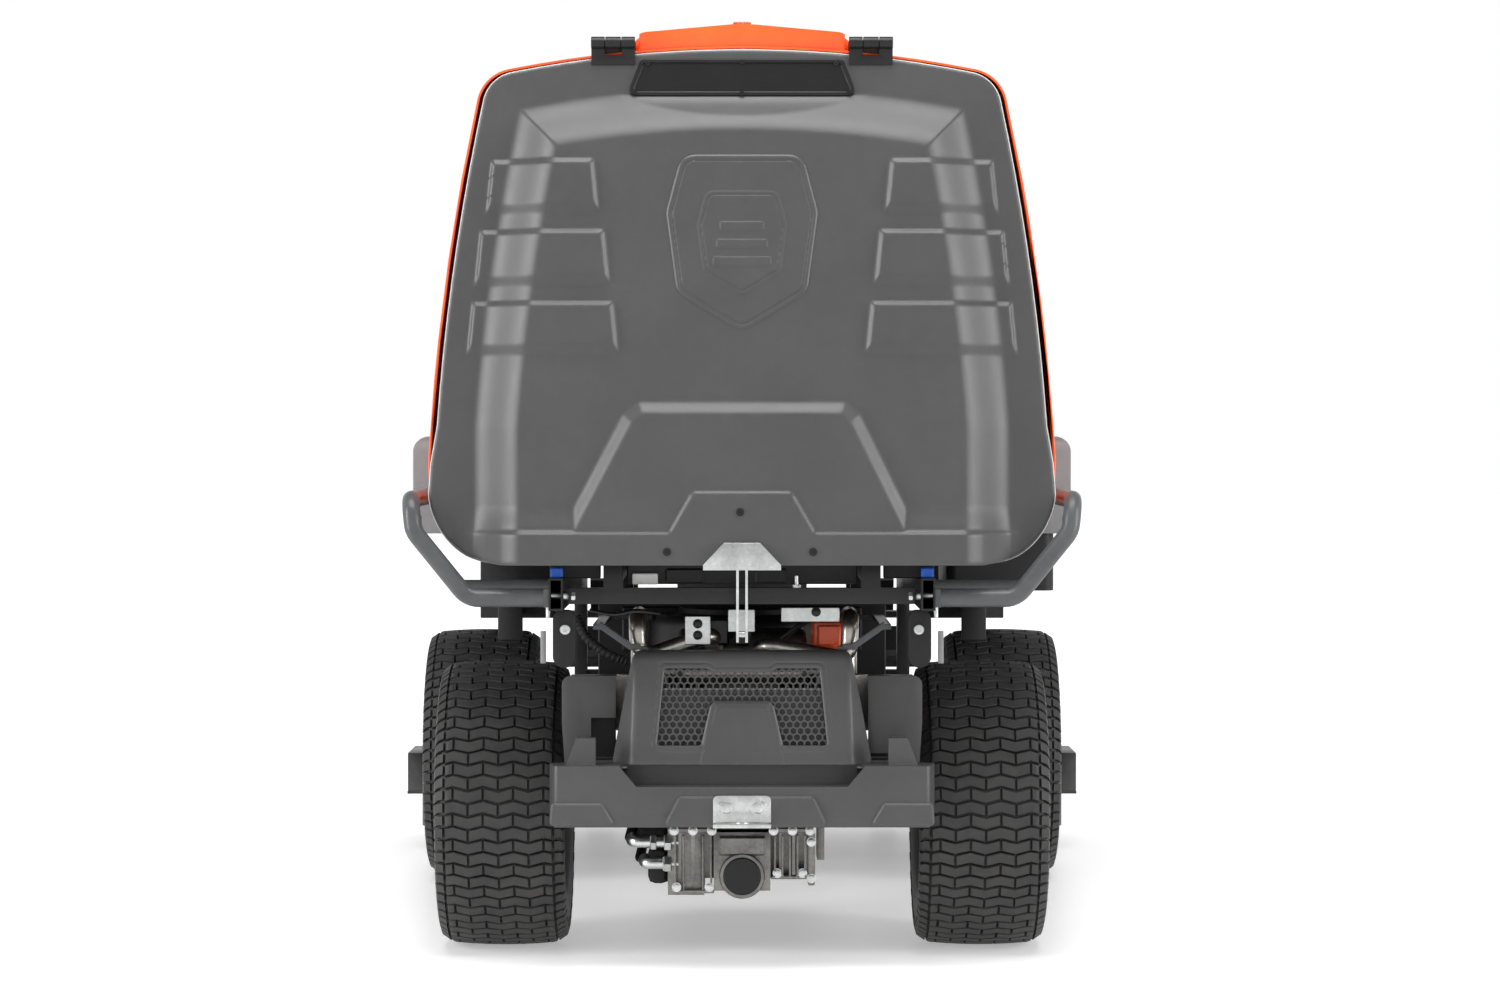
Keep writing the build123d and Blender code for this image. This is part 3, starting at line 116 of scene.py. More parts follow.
# each finish: two tones, how glossy, its grain (scale in 1/m, height in mm), how metallic, coat
finishes = {
    "mouldedGrey": dict(tones=(rgb(60, 60, 60), rgb(66, 66, 66)), gloss=(0.36, 0.44), grain=(850, 0.12), cloud=7,
                        shine=0.5),
    "bumperGrey": dict(tones=(rgb(60, 60, 60), rgb(66, 66, 66)), gloss=(0.38, 0.48), grain=(900, 0.12), cloud=9,
                       shine=0.45),
    "ventBlack": dict(tones=(rgb(12, 12, 12), rgb(18, 18, 18)), gloss=(0.35, 0.5), grain=(900, 0.1), cloud=20),
    "orangePaint": dict(tones=(rgb(236, 76, 16), rgb(243, 90, 26)), gloss=(0.27, 0.36), grain=(160, 0.05), cloud=5,
                        coat=0.45),
    "deckBlack": dict(tones=(rgb(18, 18, 19), rgb(28, 28, 29)), gloss=(0.3, 0.42), grain=(220, 0.08), cloud=6),
    "frameBlack": dict(tones=(rgb(16, 16, 17), rgb(24, 24, 25)), gloss=(0.3, 0.44), grain=(420, 0.12), cloud=12),
    "tubeGrey": dict(tones=(rgb(70, 71, 72), rgb(80, 81, 82)), gloss=(0.28, 0.4), grain=(380, 0.08), cloud=10),
    "consoleGrey": dict(tones=(rgb(112, 113, 114), rgb(122, 123, 124)), gloss=(0.42, 0.52), grain=(800, 0.1),
                        cloud=6),
    "plasticBlack": dict(tones=(rgb(18, 18, 19), rgb(26, 26, 27)), gloss=(0.42, 0.56), grain=(900, 0.14), cloud=9),
    "rubberBlack": dict(tones=(rgb(14, 14, 14), rgb(24, 24, 24)), gloss=(0.6, 0.75), grain=(500, 0.12), cloud=30),
    "tyreRubber": dict(tones=(rgb(38, 38, 38), rgb(50, 50, 50)), gloss=(0.5, 0.66), grain=(520, 0.12), cloud=26),
    "meshBlack": dict(tones=(rgb(12, 12, 12), rgb(20, 20, 20)), gloss=(0.4, 0.5), grain=(600, 0.05), cloud=15),
    "lensRed": dict(tones=(rgb(150, 12, 14), rgb(186, 20, 20)), gloss=(0.08, 0.16), grain=(300, 0.04), cloud=60,
                    coat=0.8),
    "rimPaint": dict(tones=(rgb(150, 152, 154), rgb(164, 166, 168)), gloss=(0.3, 0.42), grain=(260, 0.06), cloud=9,
                     coat=0.2),
    "castAlloy": dict(tones=(rgb(96, 95, 93), rgb(138, 136, 132)), gloss=(0.34, 0.5), grain=(560, 0.3), cloud=22,
                      metal=0.85),
    "zinc": dict(tones=(rgb(176, 178, 178), rgb(214, 216, 214)), gloss=(0.26, 0.42), grain=(240, 0.05), cloud=45,
                 metal=1.0),
    "exhaustSteel": dict(tones=(rgb(150, 146, 140), rgb(198, 196, 192)), gloss=(0.22, 0.42), grain=(300, 0.06),
                         cloud=24, metal=1.0),
    "bladeSteel": dict(tones=(rgb(132, 134, 136), rgb(168, 170, 172)), gloss=(0.3, 0.5), grain=(300, 0.1), cloud=30,
                       metal=1.0),
    "seatVinyl": dict(tones=(rgb(34, 34, 36), rgb(46, 46, 48)), gloss=(0.42, 0.55), grain=(420, 0.25), cloud=12),
    "wheelGrip": dict(tones=(rgb(26, 26, 27), rgb(36, 36, 37)), gloss=(0.45, 0.6), grain=(700, 0.2), cloud=20),
    "lampGlass": dict(tones=(rgb(206, 212, 216), rgb(232, 236, 238)), gloss=(0.05, 0.12), grain=(180, 0.08),
                      cloud=40, coat=0.7),
    "clearBlue": dict(tones=(rgb(20, 74, 168), rgb(34, 96, 196)), gloss=(0.3, 0.4), grain=(500, 0.05), cloud=60),
    "capBlack": dict(tones=(rgb(18, 18, 19), rgb(26, 26, 27)), gloss=(0.28, 0.4), grain=(500, 0.06), cloud=40),
    "whiteNylon": dict(tones=(rgb(222, 222, 218), rgb(236, 236, 232)), gloss=(0.4, 0.5), grain=(500, 0.06), cloud=50),
    "sealGrey": dict(tones=(rgb(186, 186, 186), rgb(200, 200, 200)), gloss=(0.5, 0.6), grain=(500, 0.05), cloud=40),
}


def makeFinish(name, look):
    material = bpy.data.materials.new(name)
    material.use_nodes = True
    tree = material.node_tree
    shader = tree.nodes["Principled BSDF"]
    start = Wire(tree)
    place = start.node("TexCoord", out=3)
    cloud = place.noise(look["cloud"], 5, 0.6)
    fine = place.noise(look["cloud"] * 9, 3)
    mixShare = (cloud * 0.7 + fine * 0.3).spread(0.35, 0.65)
    color = mixShare.blend(*look["tones"])
    gloss = (cloud * 0.5 + fine * 0.5).spread(0.3, 0.7, *look["gloss"])
    scale, height = look["grain"]
    grain = place.noise(scale, 2)
    if name in ("castAlloy", "seatVinyl"):
        cells = place.node("TexVoronoi", {"Vector": place, "Scale": scale * 0.6})
        grain = grain * 0.5 + cells * 0.7
    if name in ("zinc", "bladeSteel", "exhaustSteel"):
        spangle = place.node("TexVoronoi", {"Vector": place, "Scale": 210.0}, out=1)
        shade = spangle.node("SeparateColor", {0: spangle})
        color = (shade * 0.35).blend(color, look["tones"][0])
    if name == "exhaustSteel":
        # the pipes blue a little where they leave the cover
        high = place.node("SeparateXYZ", {0: place}, out=2)
        heat = (high.spread(0.50, 0.56) * cloud.spread(0.3, 0.6)) * 0.55
        color = heat.blend(color, rgb(150, 120, 92))
    if name in ("tyreRubber", "frameBlack", "deckBlack"):
        # thin dust, low down and in patches
        high = place.node("SeparateXYZ", {0: place}, out=2)
        dust = high.spread(0.0, 0.5, 0.07, 0.01) * place.noise(16, 6, 0.7).spread(0.4, 0.75)
        color = dust.blend(color, rgb(150, 144, 132))
    tree.links.new(color.socket, shader.inputs["Base Color"])
    tree.links.new(gloss.socket, shader.inputs["Roughness"])
    bump = start.node("Bump", {"Height": grain, "Strength": 1.0, "Distance": height / 1000})
    tree.links.new(bump.socket, shader.inputs["Normal"])
    shader.inputs["Metallic"].default_value = look.get("metal", 0.0)
    shader.inputs["Coat Weight"].default_value = look.get("coat", 0.0)
    shader.inputs["Coat Roughness"].default_value = 0.12
    shader.inputs["Specular IOR Level"].default_value = look.get("shine", 0.35)
    return material


paint = {name: makeFinish(name, look) for name, look in finishes.items()}
# which finish stands for each material slot of the record
slotFinish = {
    "bin_orange": "orangePaint", "door_grey": "mouldedGrey", "vent_black": "ventBlack", "lens_red": "lensRed",
    "frame_black": "frameBlack", "tube_grey": "tubeGrey", "bumper_grey": "bumperGrey", "mesh_black": "meshBlack",
    "console_grey": "consoleGrey", "black_plastic": "plasticBlack", "rubber_black": "rubberBlack",
    "tyre_rubber": "tyreRubber", "rim_paint": "rimPaint", "deck_black": "deckBlack", "cast_alloy": "castAlloy",
    "exhaust_steel": "exhaustSteel", "zinc": "zinc", "blade_steel": "bladeSteel", "seat_vinyl": "seatVinyl",
    "wheel_grip": "wheelGrip", "lamp_glass": "lampGlass",
}
bodyOf = {}
for bodyName, members in frame["record"]["behaviour"]["bodies"].items():
    for member in members:
        bodyOf[member] = bodyName
print("finishes made:", len(paint))


# mesh helpers
@contextmanager
def edited(mesh):
    work = bmesh.new()
    work.from_mesh(mesh)
    yield work
    work.to_mesh(mesh)
    work.free()


def finishMesh(piece, angle=32, recalc=False):
    limit = math.radians(angle)
    with edited(piece.data) as work:
        bmesh.ops.remove_doubles(work, verts=work.verts, dist=0.00002)
        if recalc:
            bmesh.ops.recalc_face_normals(work, faces=work.faces)
        for face in work.faces:
            face.smooth = True
        for edge in work.edges:
            edge.smooth = len(edge.link_faces) == 2 and edge.calc_face_angle(0.0) < limit


def addPiece(name, verts, faces, finish, recalc=True, angle=32):
    mesh = bpy.data.meshes.new(name)
    mesh.from_pydata([tuple(v) for v in verts], [], [tuple(f) for f in faces])
    piece = bpy.data.objects.new(name, mesh)
    shown.collection.objects.link(piece)
    mesh.materials.append(paint[finish])
    finishMesh(piece, angle, recalc)
    return piece


def bake(piece):
    # modifiers become plain mesh
    graph = bpy.context.evaluated_depsgraph_get()
    mesh = bpy.data.meshes.new_from_object(piece.evaluated_get(graph))
    piece.modifiers.clear()
    old = piece.data
    piece.data = mesh
    if old.users == 0:
        bpy.data.meshes.remove(old)
    return piece


def place(piece, body, slot, *stood):
    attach(piece, body)
    if stood:
        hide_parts(*stood)
    return piece


slotOf = {part["node"]: part["material_slot"] for part in frame["record"]["subparts"]}


def soften(node, width=0.0015, finish=None, angle=28, segments=2):
    # a copy of a CAD node with its hard edges eased
    source = nodes[node]
    piece = bpy.data.objects.new(node + "Eased", source.data.copy())
    shown.collection.objects.link(piece)
    with edited(piece.data) as work:
        bmesh.ops.remove_doubles(work, verts=work.verts, dist=0.00002)
        bmesh.ops.dissolve_limit(work, angle_limit=math.radians(1.2), verts=work.verts, edges=work.edges)
    piece.data.materials.clear()
    piece.data.materials.append(paint[finish or slotFinish[slotOf[node]]])
    ease = piece.modifiers.new("ease", "BEVEL")
    ease.width = width
    ease.segments = segments
    ease.limit_method = "ANGLE"
    ease.angle_limit = math.radians(angle)
    ease.use_clamp_overlap = True
    bake(piece)
    finishMesh(piece, 40)
    return place(piece, bodyOf[node], slotOf[node], node)


def roundPolygon(points, radius, steps=4):
    # the corners of a closed flat outline rounded, radius one number or one for each corner
    out = []
    count = len(points)
    for index, point in enumerate(points):
        here = Vector(point)
        before = Vector(points[index - 1]) - here
        after = Vector(points[(index + 1) % count]) - here
        size = radius[index] if isinstance(radius, (list, tuple)) else radius
        turn = before.angle(after)
        reach = min(size / max(math.tan(turn / 2), 1e-6), before.length * 0.48, after.length * 0.48)
        first = here + before.normalized() * reach
        last = here + after.normalized() * reach
        for step in range(steps + 1):
            share = step / steps
            out.append(tuple(first * (1 - share) ** 2 + here * 2 * share * (1 - share) + last * share ** 2))
    return out


def insetPolygon(points, depth):
    # each side moved inwards, for an outline that runs anticlockwise
    out = []
    count = len(points)
    for index in range(count):
        a, b, c = (Vector(points[(index + k) % count]) for k in (-1, 0, 1))
        u, v = (b - a).normalized(), (c - b).normalized()
        nu, nv = Vector((-u.y, u.x)), Vector((-v.y, v.x))
        bisector = nu + nv
        out.append(tuple(b + bisector * (depth / max(0.3, 1 + nu.dot(nv)))))
    return out


def turned(points):
    # the outline made to run anticlockwise
    area = sum(points[i - 1][0] * points[i][1] - points[i][0] * points[i - 1][1] for i in range(len(points)))
    return list(points) if area > 0 else list(reversed(points))


def tubeFaces(size, rings):
    # the quads between rings of points that follow one another
    return [(ring * size + k, ring * size + (k + 1) % size, (ring + 1) * size + (k + 1) % size, (ring + 1) * size + k)
            for ring in range(rings - 1) for k in range(size)]


def layered(outline, radius, levels, steps=4):
    # rings of one outline at several depths: levels are (inset, y), ends closed
    base = turned(outline)
    verts, size = [], 0
    for inset, y in levels:
        ring = insetPolygon(base, inset)
        small = [max(r - inset, 0.0008) for r in radius] if isinstance(radius, (list, tuple)) \
            else max(radius - inset, 0.0008)
        ring = roundPolygon(ring, small, steps)
        size = len(ring)
        verts += [(x, y, z) for x, z in ring]
    faces = tubeFaces(size, len(levels))
    faces.append(tuple(range(size)))
    faces.append(tuple(reversed(range((len(levels) - 1) * size, len(levels) * size))))
    return verts, faces


def join(parts):
    verts, faces = [], []
    for someVerts, someFaces in parts:
        start = len(verts)
        verts += list(someVerts)
        faces += [tuple(i + start for i in face) for face in someFaces]
    return verts, faces


def made(name, parts, finish, body, slot, angle=32):
    verts, faces = join(parts)
    return place(addPiece(name, verts, faces, finish, angle=angle), body, slot)


def spun(profile, count, origin, axis, first=0.0):
    # a closed profile of (along, radius) turned about an axis, ends meeting the axis closed
    axis = Vector(axis).normalized()
    side = axis.orthogonal().normalized()
    other = axis.cross(side)
    verts = []
    for step in range(count):
        a = first + 2 * math.pi * step / count
        out = side * math.cos(a) + other * math.sin(a)
        verts += [tuple(Vector(origin) + axis * along + out * radius) for along, radius in profile]
    faces = []
    size = len(profile)
    for step in range(count):
        after = (step + 1) % count
        for i in range(size - 1):
            faces.append((step * size + i, after * size + i, after * size + i + 1, step * size + i + 1))
    return verts, faces


def pipe(points, radius, sides=12, closed=True):
    # a round bar or hose through points, radius may change along it
    points = [Vector(p) for p in points]
    verts = []
    normal = (points[1] - points[0]).orthogonal().normalized()
    for index, point in enumerate(points):
        ahead = points[min(index + 1, len(points) - 1)] - points[max(index - 1, 0)]
        ahead.normalize()
        normal = (normal - ahead * normal.dot(ahead)).normalized()
        other = ahead.cross(normal)
        size = radius[index] if isinstance(radius, (list, tuple)) else radius
        for side in range(sides):
            a = 2 * math.pi * side / sides
            verts.append(tuple(point + (normal * math.cos(a) + other * math.sin(a)) * size))
    faces = tubeFaces(sides, len(points))
    if closed:
        faces.append(tuple(reversed(range(sides))))
        faces.append(tuple(range((len(points) - 1) * sides, len(points) * sides)))
    return verts, faces


def bentPath(points, bend, steps=6):
    out = []
    points = [Vector(p) for p in points]
    for index, here in enumerate(points):
        if index in (0, len(points) - 1):
            out.append(here)
            continue
        before, after = points[index - 1] - here, points[index + 1] - here
        reach = min(bend, before.length * 0.48, after.length * 0.48)
        first, last = here + before.normalized() * reach, here + after.normalized() * reach
        for step in range(steps + 1):
            share = step / steps
            out.append(first * (1 - share) ** 2 + here * 2 * share * (1 - share) + last * share ** 2)
    return out


def signedDistance(px, pz, outline):
    # how far inside a closed outline each point lies, negative outside, and the nearest point on it
    best = np.full(px.shape, 1e9)
    nearX, nearZ = px.copy(), pz.copy()
    inside = np.zeros(px.shape, bool)
    for index in range(len(outline)):
        ax, az = outline[index - 1]
        bx, bz = outline[index]
        dx, dz = bx - ax, bz - az
        share = np.clip(((px - ax) * dx + (pz - az) * dz) / max(dx * dx + dz * dz, 1e-12), 0, 1)
        qx, qz = ax + share * dx, az + share * dz
        far = np.hypot(px - qx, pz - qz)
        closer = far < best
        best = np.where(closer, far, best)
        nearX = np.where(closer, qx, nearX)
        nearZ = np.where(closer, qz, nearZ)
        crosses = ((az > pz) != (bz > pz)) & (px < (bx - ax) * (pz - az) / (bz - az if bz != az else 1e-12) + ax)
        inside ^= crosses
    return np.where(inside, best, -best), nearX, nearZ


def relief(outline, height, step, backY, holes=()):
    # a moulded face seen from -Y: height(x, z, inside) says how far each point stands out from backY
    xs = [p[0] for p in outline]
    zs = [p[1] for p in outline]
    countX = int((max(xs) - min(xs)) / step) + 2
    countZ = int((max(zs) - min(zs)) / step) + 2
    gridX, gridZ = np.meshgrid(min(xs) - step * 0.4 + step * np.arange(countX),
                               min(zs) - step * 0.4 + step * np.arange(countZ))
    inside, nearX, nearZ = signedDistance(gridX, gridZ, outline)
    for hole in holes:
        other, holeX, holeZ = signedDistance(gridX, gridZ, hole)
        nearer = -other < inside
        inside = np.where(nearer, -other, inside)
        nearX = np.where(nearer, holeX, nearX)
        nearZ = np.where(nearer, holeZ, nearZ)
    snap = inside < step * 0.3
    xx = np.where(snap, nearX, gridX)
    zz = np.where(snap, nearZ, gridZ)
    depth = np.where(snap, 0.0, inside)
    yy = backY - height(xx, zz, depth)
    keep = inside > 0
    quad = keep[:-1, :-1] | keep[1:, :-1] | keep[:-1, 1:] | keep[1:, 1:]
    verts = np.stack([xx, yy, zz], -1).reshape(-1, 3)
    rows, cols = np.nonzero(quad)
    base = rows * countX + cols
    faces = np.stack([base, base + 1, base + countX + 1, base + countX], -1)
    mesh = bmesh.new()
    vertAt = {index: mesh.verts.new(verts[index]) for index in np.unique(faces)}
    for face in faces.tolist():
        mesh.faces.new([vertAt[i] for i in face])
    bmesh.ops.remove_doubles(mesh, verts=mesh.verts, dist=step * 0.02)
    bmesh.ops.dissolve_degenerate(mesh, edges=mesh.edges, dist=step * 0.02)
    rim = [edge for edge in mesh.edges if len(edge.link_faces) == 1]
    grown = bmesh.ops.extrude_edge_only(mesh, edges=rim)
    for vert in [v for v in grown["geom"] if isinstance(v, bmesh.types.BMVert)]:
        vert.co.y = backY
    mesh.verts.ensure_lookup_table()
    out = bpy.data.meshes.new("relief")
    mesh.to_mesh(out)
    mesh.free()
    return out


def reliefPiece(name, mesh, finish, angle=40):
    piece = bpy.data.objects.new(name, mesh)
    shown.collection.objects.link(piece)
    mesh.materials.append(paint[finish])
    finishMesh(piece, angle, False)
    return piece


def hull(points):
    points = sorted(set((round(x, 5), round(z, 5)) for x, z in points))
    def half(sequence):
        out = []
        for p in sequence:
            while len(out) > 1 and (out[-1][0] - out[-2][0]) * (p[1] - out[-2][1]) \
                    - (out[-1][1] - out[-2][1]) * (p[0] - out[-2][0]) <= 1e-9:
                out.pop()
            out.append(p)
        return out[:-1]
    return half(points) + half(reversed(points))


# repeated things are put in place by Geometry Nodes
class Flow:
    def __init__(self, name, inputs):
        self.tree = bpy.data.node_groups.new(name, "GeometryNodeTree")
        face = self.tree.interface
        face.new_socket("Geometry", in_out="INPUT", socket_type="NodeSocketGeometry")
        for label, kind in inputs.items():
            face.new_socket(label, in_out="INPUT", socket_type="NodeSocket" + kind)
        face.new_socket("Geometry", in_out="OUTPUT", socket_type="NodeSocketGeometry")
        self.given = self.tree.nodes.new("NodeGroupInput")
        self.end = self.tree.nodes.new("NodeGroupOutput")

    def input(self, label):
        return self.given.outputs[label]

    def node(self, kind, values=None, out=0, **settings):
        made = self.tree.nodes.new(kind)
        for name, setting in settings.items():
            setattr(made, name, setting)
        for at, value in (values or {}).items():
            if isinstance(value, bpy.types.NodeSocket):
                self.tree.links.new(value, made.inputs[at])
            else:
                made.inputs[at].default_value = value
        return made.outputs[out]

    def math(self, operation, first, second=0.0):
        return self.node("ShaderNodeMath", {0: first, 1: second}, operation=operation)

    def finish(self, geometry, material):
        real = self.node("GeometryNodeRealizeInstances", {0: geometry})
        done = self.node("GeometryNodeSetMaterial", {0: real, "Material": material})
        self.tree.links.new(done, self.end.inputs[0])


def grow(name, flow, values, seed=None):
    # runs a tree on an object (or on nothing) and keeps the result as plain mesh
    mesh = seed or bpy.data.meshes.new(name)
    piece = bpy.data.objects.new(name, mesh)
    shown.collection.objects.link(piece)
    run = piece.modifiers.new("grow", "NODES")
    run.node_group = flow.tree
    for item in flow.tree.interface.items_tree:
        if item.in_out == "INPUT" and item.name in values:
            run[item.identifier] = values[item.name]
    bake(piece)
    return piece


def pattern(name, verts, faces):
    # a hidden shape that trees copy
    mesh = bpy.data.meshes.new(name)
    mesh.from_pydata([tuple(v) for v in verts], [], [tuple(f) for f in faces])
    with edited(mesh) as work:
        bmesh.ops.remove_doubles(work, verts=work.verts, dist=0.00001)
        bmesh.ops.recalc_face_normals(work, faces=work.faces)
    piece = bpy.data.objects.new(name, mesh)
    patterns.append(piece)
    return piece


patterns = []

# the collector's door: a moulded face with a raised middle, louvre pads, two arches and a lip
door = dict(step=0.0031, backY=-1.090, skin=0.004, bulge=0.050, ringWidth=0.056, slope=0.074,
            padRise=0.0075, archRise=0.015, lipRise=0.0205,
            pads=((0.2265, 0.3900, 1.1720, 1.2600), (0.2100, 0.4075, 1.0600, 1.1510), (0.1965, 0.4200, 0.9535, 1.0400)),
            arch=((-0.262, 0.722), (-0.186, 0.866), (-0.160, 0.886), (0.160, 0.886), (0.184, 0.866), (0.260, 0.712)),
            tab=((-0.130, 0.682), (-0.090, 0.752), (-0.078, 0.760), (0.078, 0.760), (0.090, 0.752), (0.130, 0.682)))
doorOutline = hull([(v.co.x, v.co.z) for v in nodes["door_panel"].data.vertices])
doorOutline = roundPolygon(doorOutline, 0.01, 2)
# narrower above, where the bin's painted rim shows beside it, and wider at its foot, which hides the rim
doorOutline = [(x * (0.9885 + 0.0260 * max(0.0, min(1.0, (0.82 - z) / 0.06))),
                z - 0.0055 * max(0.0, min(1.0, (0.70 - z) / 0.05))) for x, z in doorOutline]


def below(points, low=0.5):
    # an arch taken down past the lip, so only its top and sides count
    (x0, z0), (x1, z1) = points[0], points[1]
    (x2, z2), (x3, z3) = points[-1], points[-2]
    left = x0 + (x0 - x1) * (low - z0) / (z0 - z1)
    right = x2 + (x2 - x3) * (low - z2) / (z2 - z3)
    return [(left, low)] + list(points[1:-1]) + [(right, low)]


def eased(share):
    share = np.clip(share, 0, 1)
    return 0.45 * share + 0.55 * share * share * (3 - 2 * share)


def doorHeight(x, z, depth):
    sides = [(px, pz) for px, pz in doorOutline if pz > 0.8]
    edge = max(px for px, pz in sides)
    ring = [(-edge, 0.2), (edge, 0.2)] + sorted([p for p in sides if p[0] > 0], key=lambda p: p[1]) \
        + sorted([p for p in sides if p[0] <= 0], key=lambda p: -p[1])
    side = signedDistance(x, z, ring)[0]
    rise = np.minimum((side - door["ringWidth"]) / door["slope"], (1.362 - z) / 0.056)
    h = door["skin"] + door["bulge"] * eased(rise)
    onBulge = np.clip((rise + 0.12) / 0.2, 0, 1)
    for inner, outer, low, high in door["pads"]:
        across = np.abs(x)
        lean = (high - z) * 0.10
        t = np.minimum.reduce([(across - inner + lean) / 0.011, (outer + lean - across) / 0.006,
                               (z - low) / 0.020, (high - z) / 0.009])
        h = h + door["padRise"] * eased(t)
    arch = signedDistance(x, z, below(door["arch"]))[0]
    lip = eased((0.722 - z) / 0.042) * np.clip((0.452 - np.abs(x)) / 0.08, 0, 1)
    tab = signedDistance(x, z, below(door["tab"]))[0]
    level = np.maximum(door["archRise"] * eased(arch / 0.024), door["lipRise"] * eased((0.692 - z) / 0.014)
                       * np.clip((0.452 - np.abs(x)) / 0.08, 0, 1))
    level = np.maximum(level, door["archRise"] * lip * 0.9)
    level = np.maximum(level, door["lipRise"] * eased(tab / 0.020))
    h = h + level
    h = h - 0.0025 * (1 - np.clip(depth / 0.004, 0, 1)) ** 2
    # a slight overall fullness, gone at the ring
    return h + 0.0012 * onBulge * np.clip(1 - (x / 0.4) ** 2, 0, 1) * np.clip(side / 0.3, 0, 1)


doorPanel = reliefPiece("doorPanel", relief(doorOutline, doorHeight, door["step"], door["backY"]), "mouldedGrey", 50)
place(doorPanel, "collector_door", "door_grey", "door_panel")

# a plain inner face closes the door
made("doorLiner", [layered(doorOutline, 0.004, [(0.0006, -1.0898), (0.0006, -1.0905)], 1)], "mouldedGrey",
     "collector_door", "door_grey")

# a pale seal shows as a thin line between the door and the bin's rim
made("doorSeal", [layered(doorOutline, 0.010, [(-0.0010, -1.0903), (-0.0012, -1.0912), (-0.0006, -1.0918),
                                               (0.0010, -1.0918), (0.0012, -1.0903)], 3)],
     "sealGrey", "collector_door", "door_grey")

# the badge is a plain rounded shield with three bars
badge = dict(step=0.0016, centre=(0.0, 1.127), half=0.117, tall=0.137)


def badgeShape(scale):
    cx, cz = badge["centre"]
    w, t = badge["half"] * scale, badge["tall"] * scale
    corners = [(-w * 0.80, t), (w * 0.80, t), (w, t * 0.35), (w * 0.86, -t * 0.55), (0.0, -t), (-w * 0.86, -t * 0.55),
               (-w, t * 0.35)]
    return roundPolygon(turned([(cx + x, cz + z) for x, z in corners]), 0.03 * scale, 6)


def badgeHeight(x, z, depth):
    h = 0.0012 + 0.0022 * eased(depth / 0.0030)
    h = h - 0.0017 * np.exp(-((depth - 0.0085) / 0.0018) ** 2)
    inner = signedDistance(x, z, badgeShape(0.60))[0]
    h = h + 0.0016 * eased(inner / 0.003) - 0.0015 * np.exp(-((inner - 0.007) / 0.0016) ** 2)
    cx, cz = badge["centre"]
    for row in (-0.027, 0.0, 0.027):
        t = np.minimum((0.040 - row * 0.2 - np.abs(x - cx)) / 0.002, (0.0075 - np.abs(z - cz - row)) / 0.002)
        h = h + 0.0018 * eased(t)
    return h


badgePiece = reliefPiece("doorBadge", relief(badgeShape(1.0), badgeHeight, badge["step"], -1.1438), "mouldedGrey", 50)
place(badgePiece, "collector_door", "door_grey")
print("door made")

# the vent: a dished frame with fine mesh behind it
vent = dict(outer=((-0.1800, 1.3580), (0.1800, 1.3580), (0.1570, 1.4150), (-0.1570, 1.4150)), rim=0.009,
            pitch=0.0050, bar=0.0010)
ventRing = layered(vent["outer"], 0.012, [(0.0, -1.0938), (0.0, -1.0966), (0.0012, -1.0980), (0.0050, -1.0980),
                                         (0.0062, -1.0962), (0.0085, -1.0950)], 5)
ventVerts, ventFaces = ventRing
ventFrame = addPiece("ventFrame", ventVerts, ventFaces, "ventBlack", recalc=False)
place(ventFrame, "collector_door", "vent_black", "door_vent")


def hexRing(outer, inner, thick):
    # one cell of a hexagon mesh lying in XZ, its front at y 0
    verts = []
    for radius, y in ((outer, 0.0), (inner, 0.0), (inner, thick), (outer, thick)):
        for k in range(6):
            a = math.radians(60 * k + 30)
            verts.append((radius * math.cos(a), y, radius * math.sin(a)))
    return verts, tubeFaces(6, 4)


def meshFlow(name):
    # copies one cell over staggered rows, kept where the cell lies over the window
    flow = Flow(name, {"Cell": "Object", "Window": "Object", "Pitch": "Float", "Columns": "Int", "Rows": "Int",
                       "Low X": "Float", "Low Z": "Float", "Depth": "Float", "Material": "Material"})
    total = flow.math("MULTIPLY", flow.input("Columns"), flow.input("Rows"))
    points = flow.node("GeometryNodePoints", {"Count": total})
    index = flow.node("GeometryNodeInputIndex")
    row = flow.math("FLOOR", flow.math("DIVIDE", index, flow.input("Columns")))
    column = flow.math("FLOORED_MODULO", index, flow.input("Columns"))
    odd = flow.math("MULTIPLY", flow.math("FLOORED_MODULO", row, 2.0), 0.5)
    x = flow.math("ADD", flow.math("MULTIPLY", flow.math("ADD", column, odd), flow.input("Pitch")), flow.input("Low X"))
    rowHeight = flow.math("MULTIPLY", flow.input("Pitch"), 0.8660254)
    z = flow.math("ADD", flow.math("MULTIPLY", row, rowHeight), flow.input("Low Z"))
    spot = flow.node("ShaderNodeCombineXYZ", {0: x, 1: flow.input("Depth"), 2: z})
    moved = flow.node("GeometryNodeSetPosition", {"Geometry": points, "Position": spot})
    window = flow.node("GeometryNodeObjectInfo", {"Object": flow.input("Window")}, out=4)
    hit = flow.node("GeometryNodeRaycast", {"Target Geometry": window, "Source Position": spot,
                                            "Ray Direction": (0.0, -1.0, 0.0), "Ray Length": 10.0})
    missed = flow.node("FunctionNodeBooleanMath", {0: hit}, operation="NOT")
    kept = flow.node("GeometryNodeDeleteGeometry", {"Geometry": moved, "Selection": missed}, domain="POINT")
    cell = flow.node("GeometryNodeObjectInfo", {"Object": flow.input("Cell")}, out=4)
    copies = flow.node("GeometryNodeInstanceOnPoints", {"Points": kept, "Instance": cell})
    flow.finish(copies, flow.input("Material"))
    return flow


cellMesh = meshFlow("cellMesh")


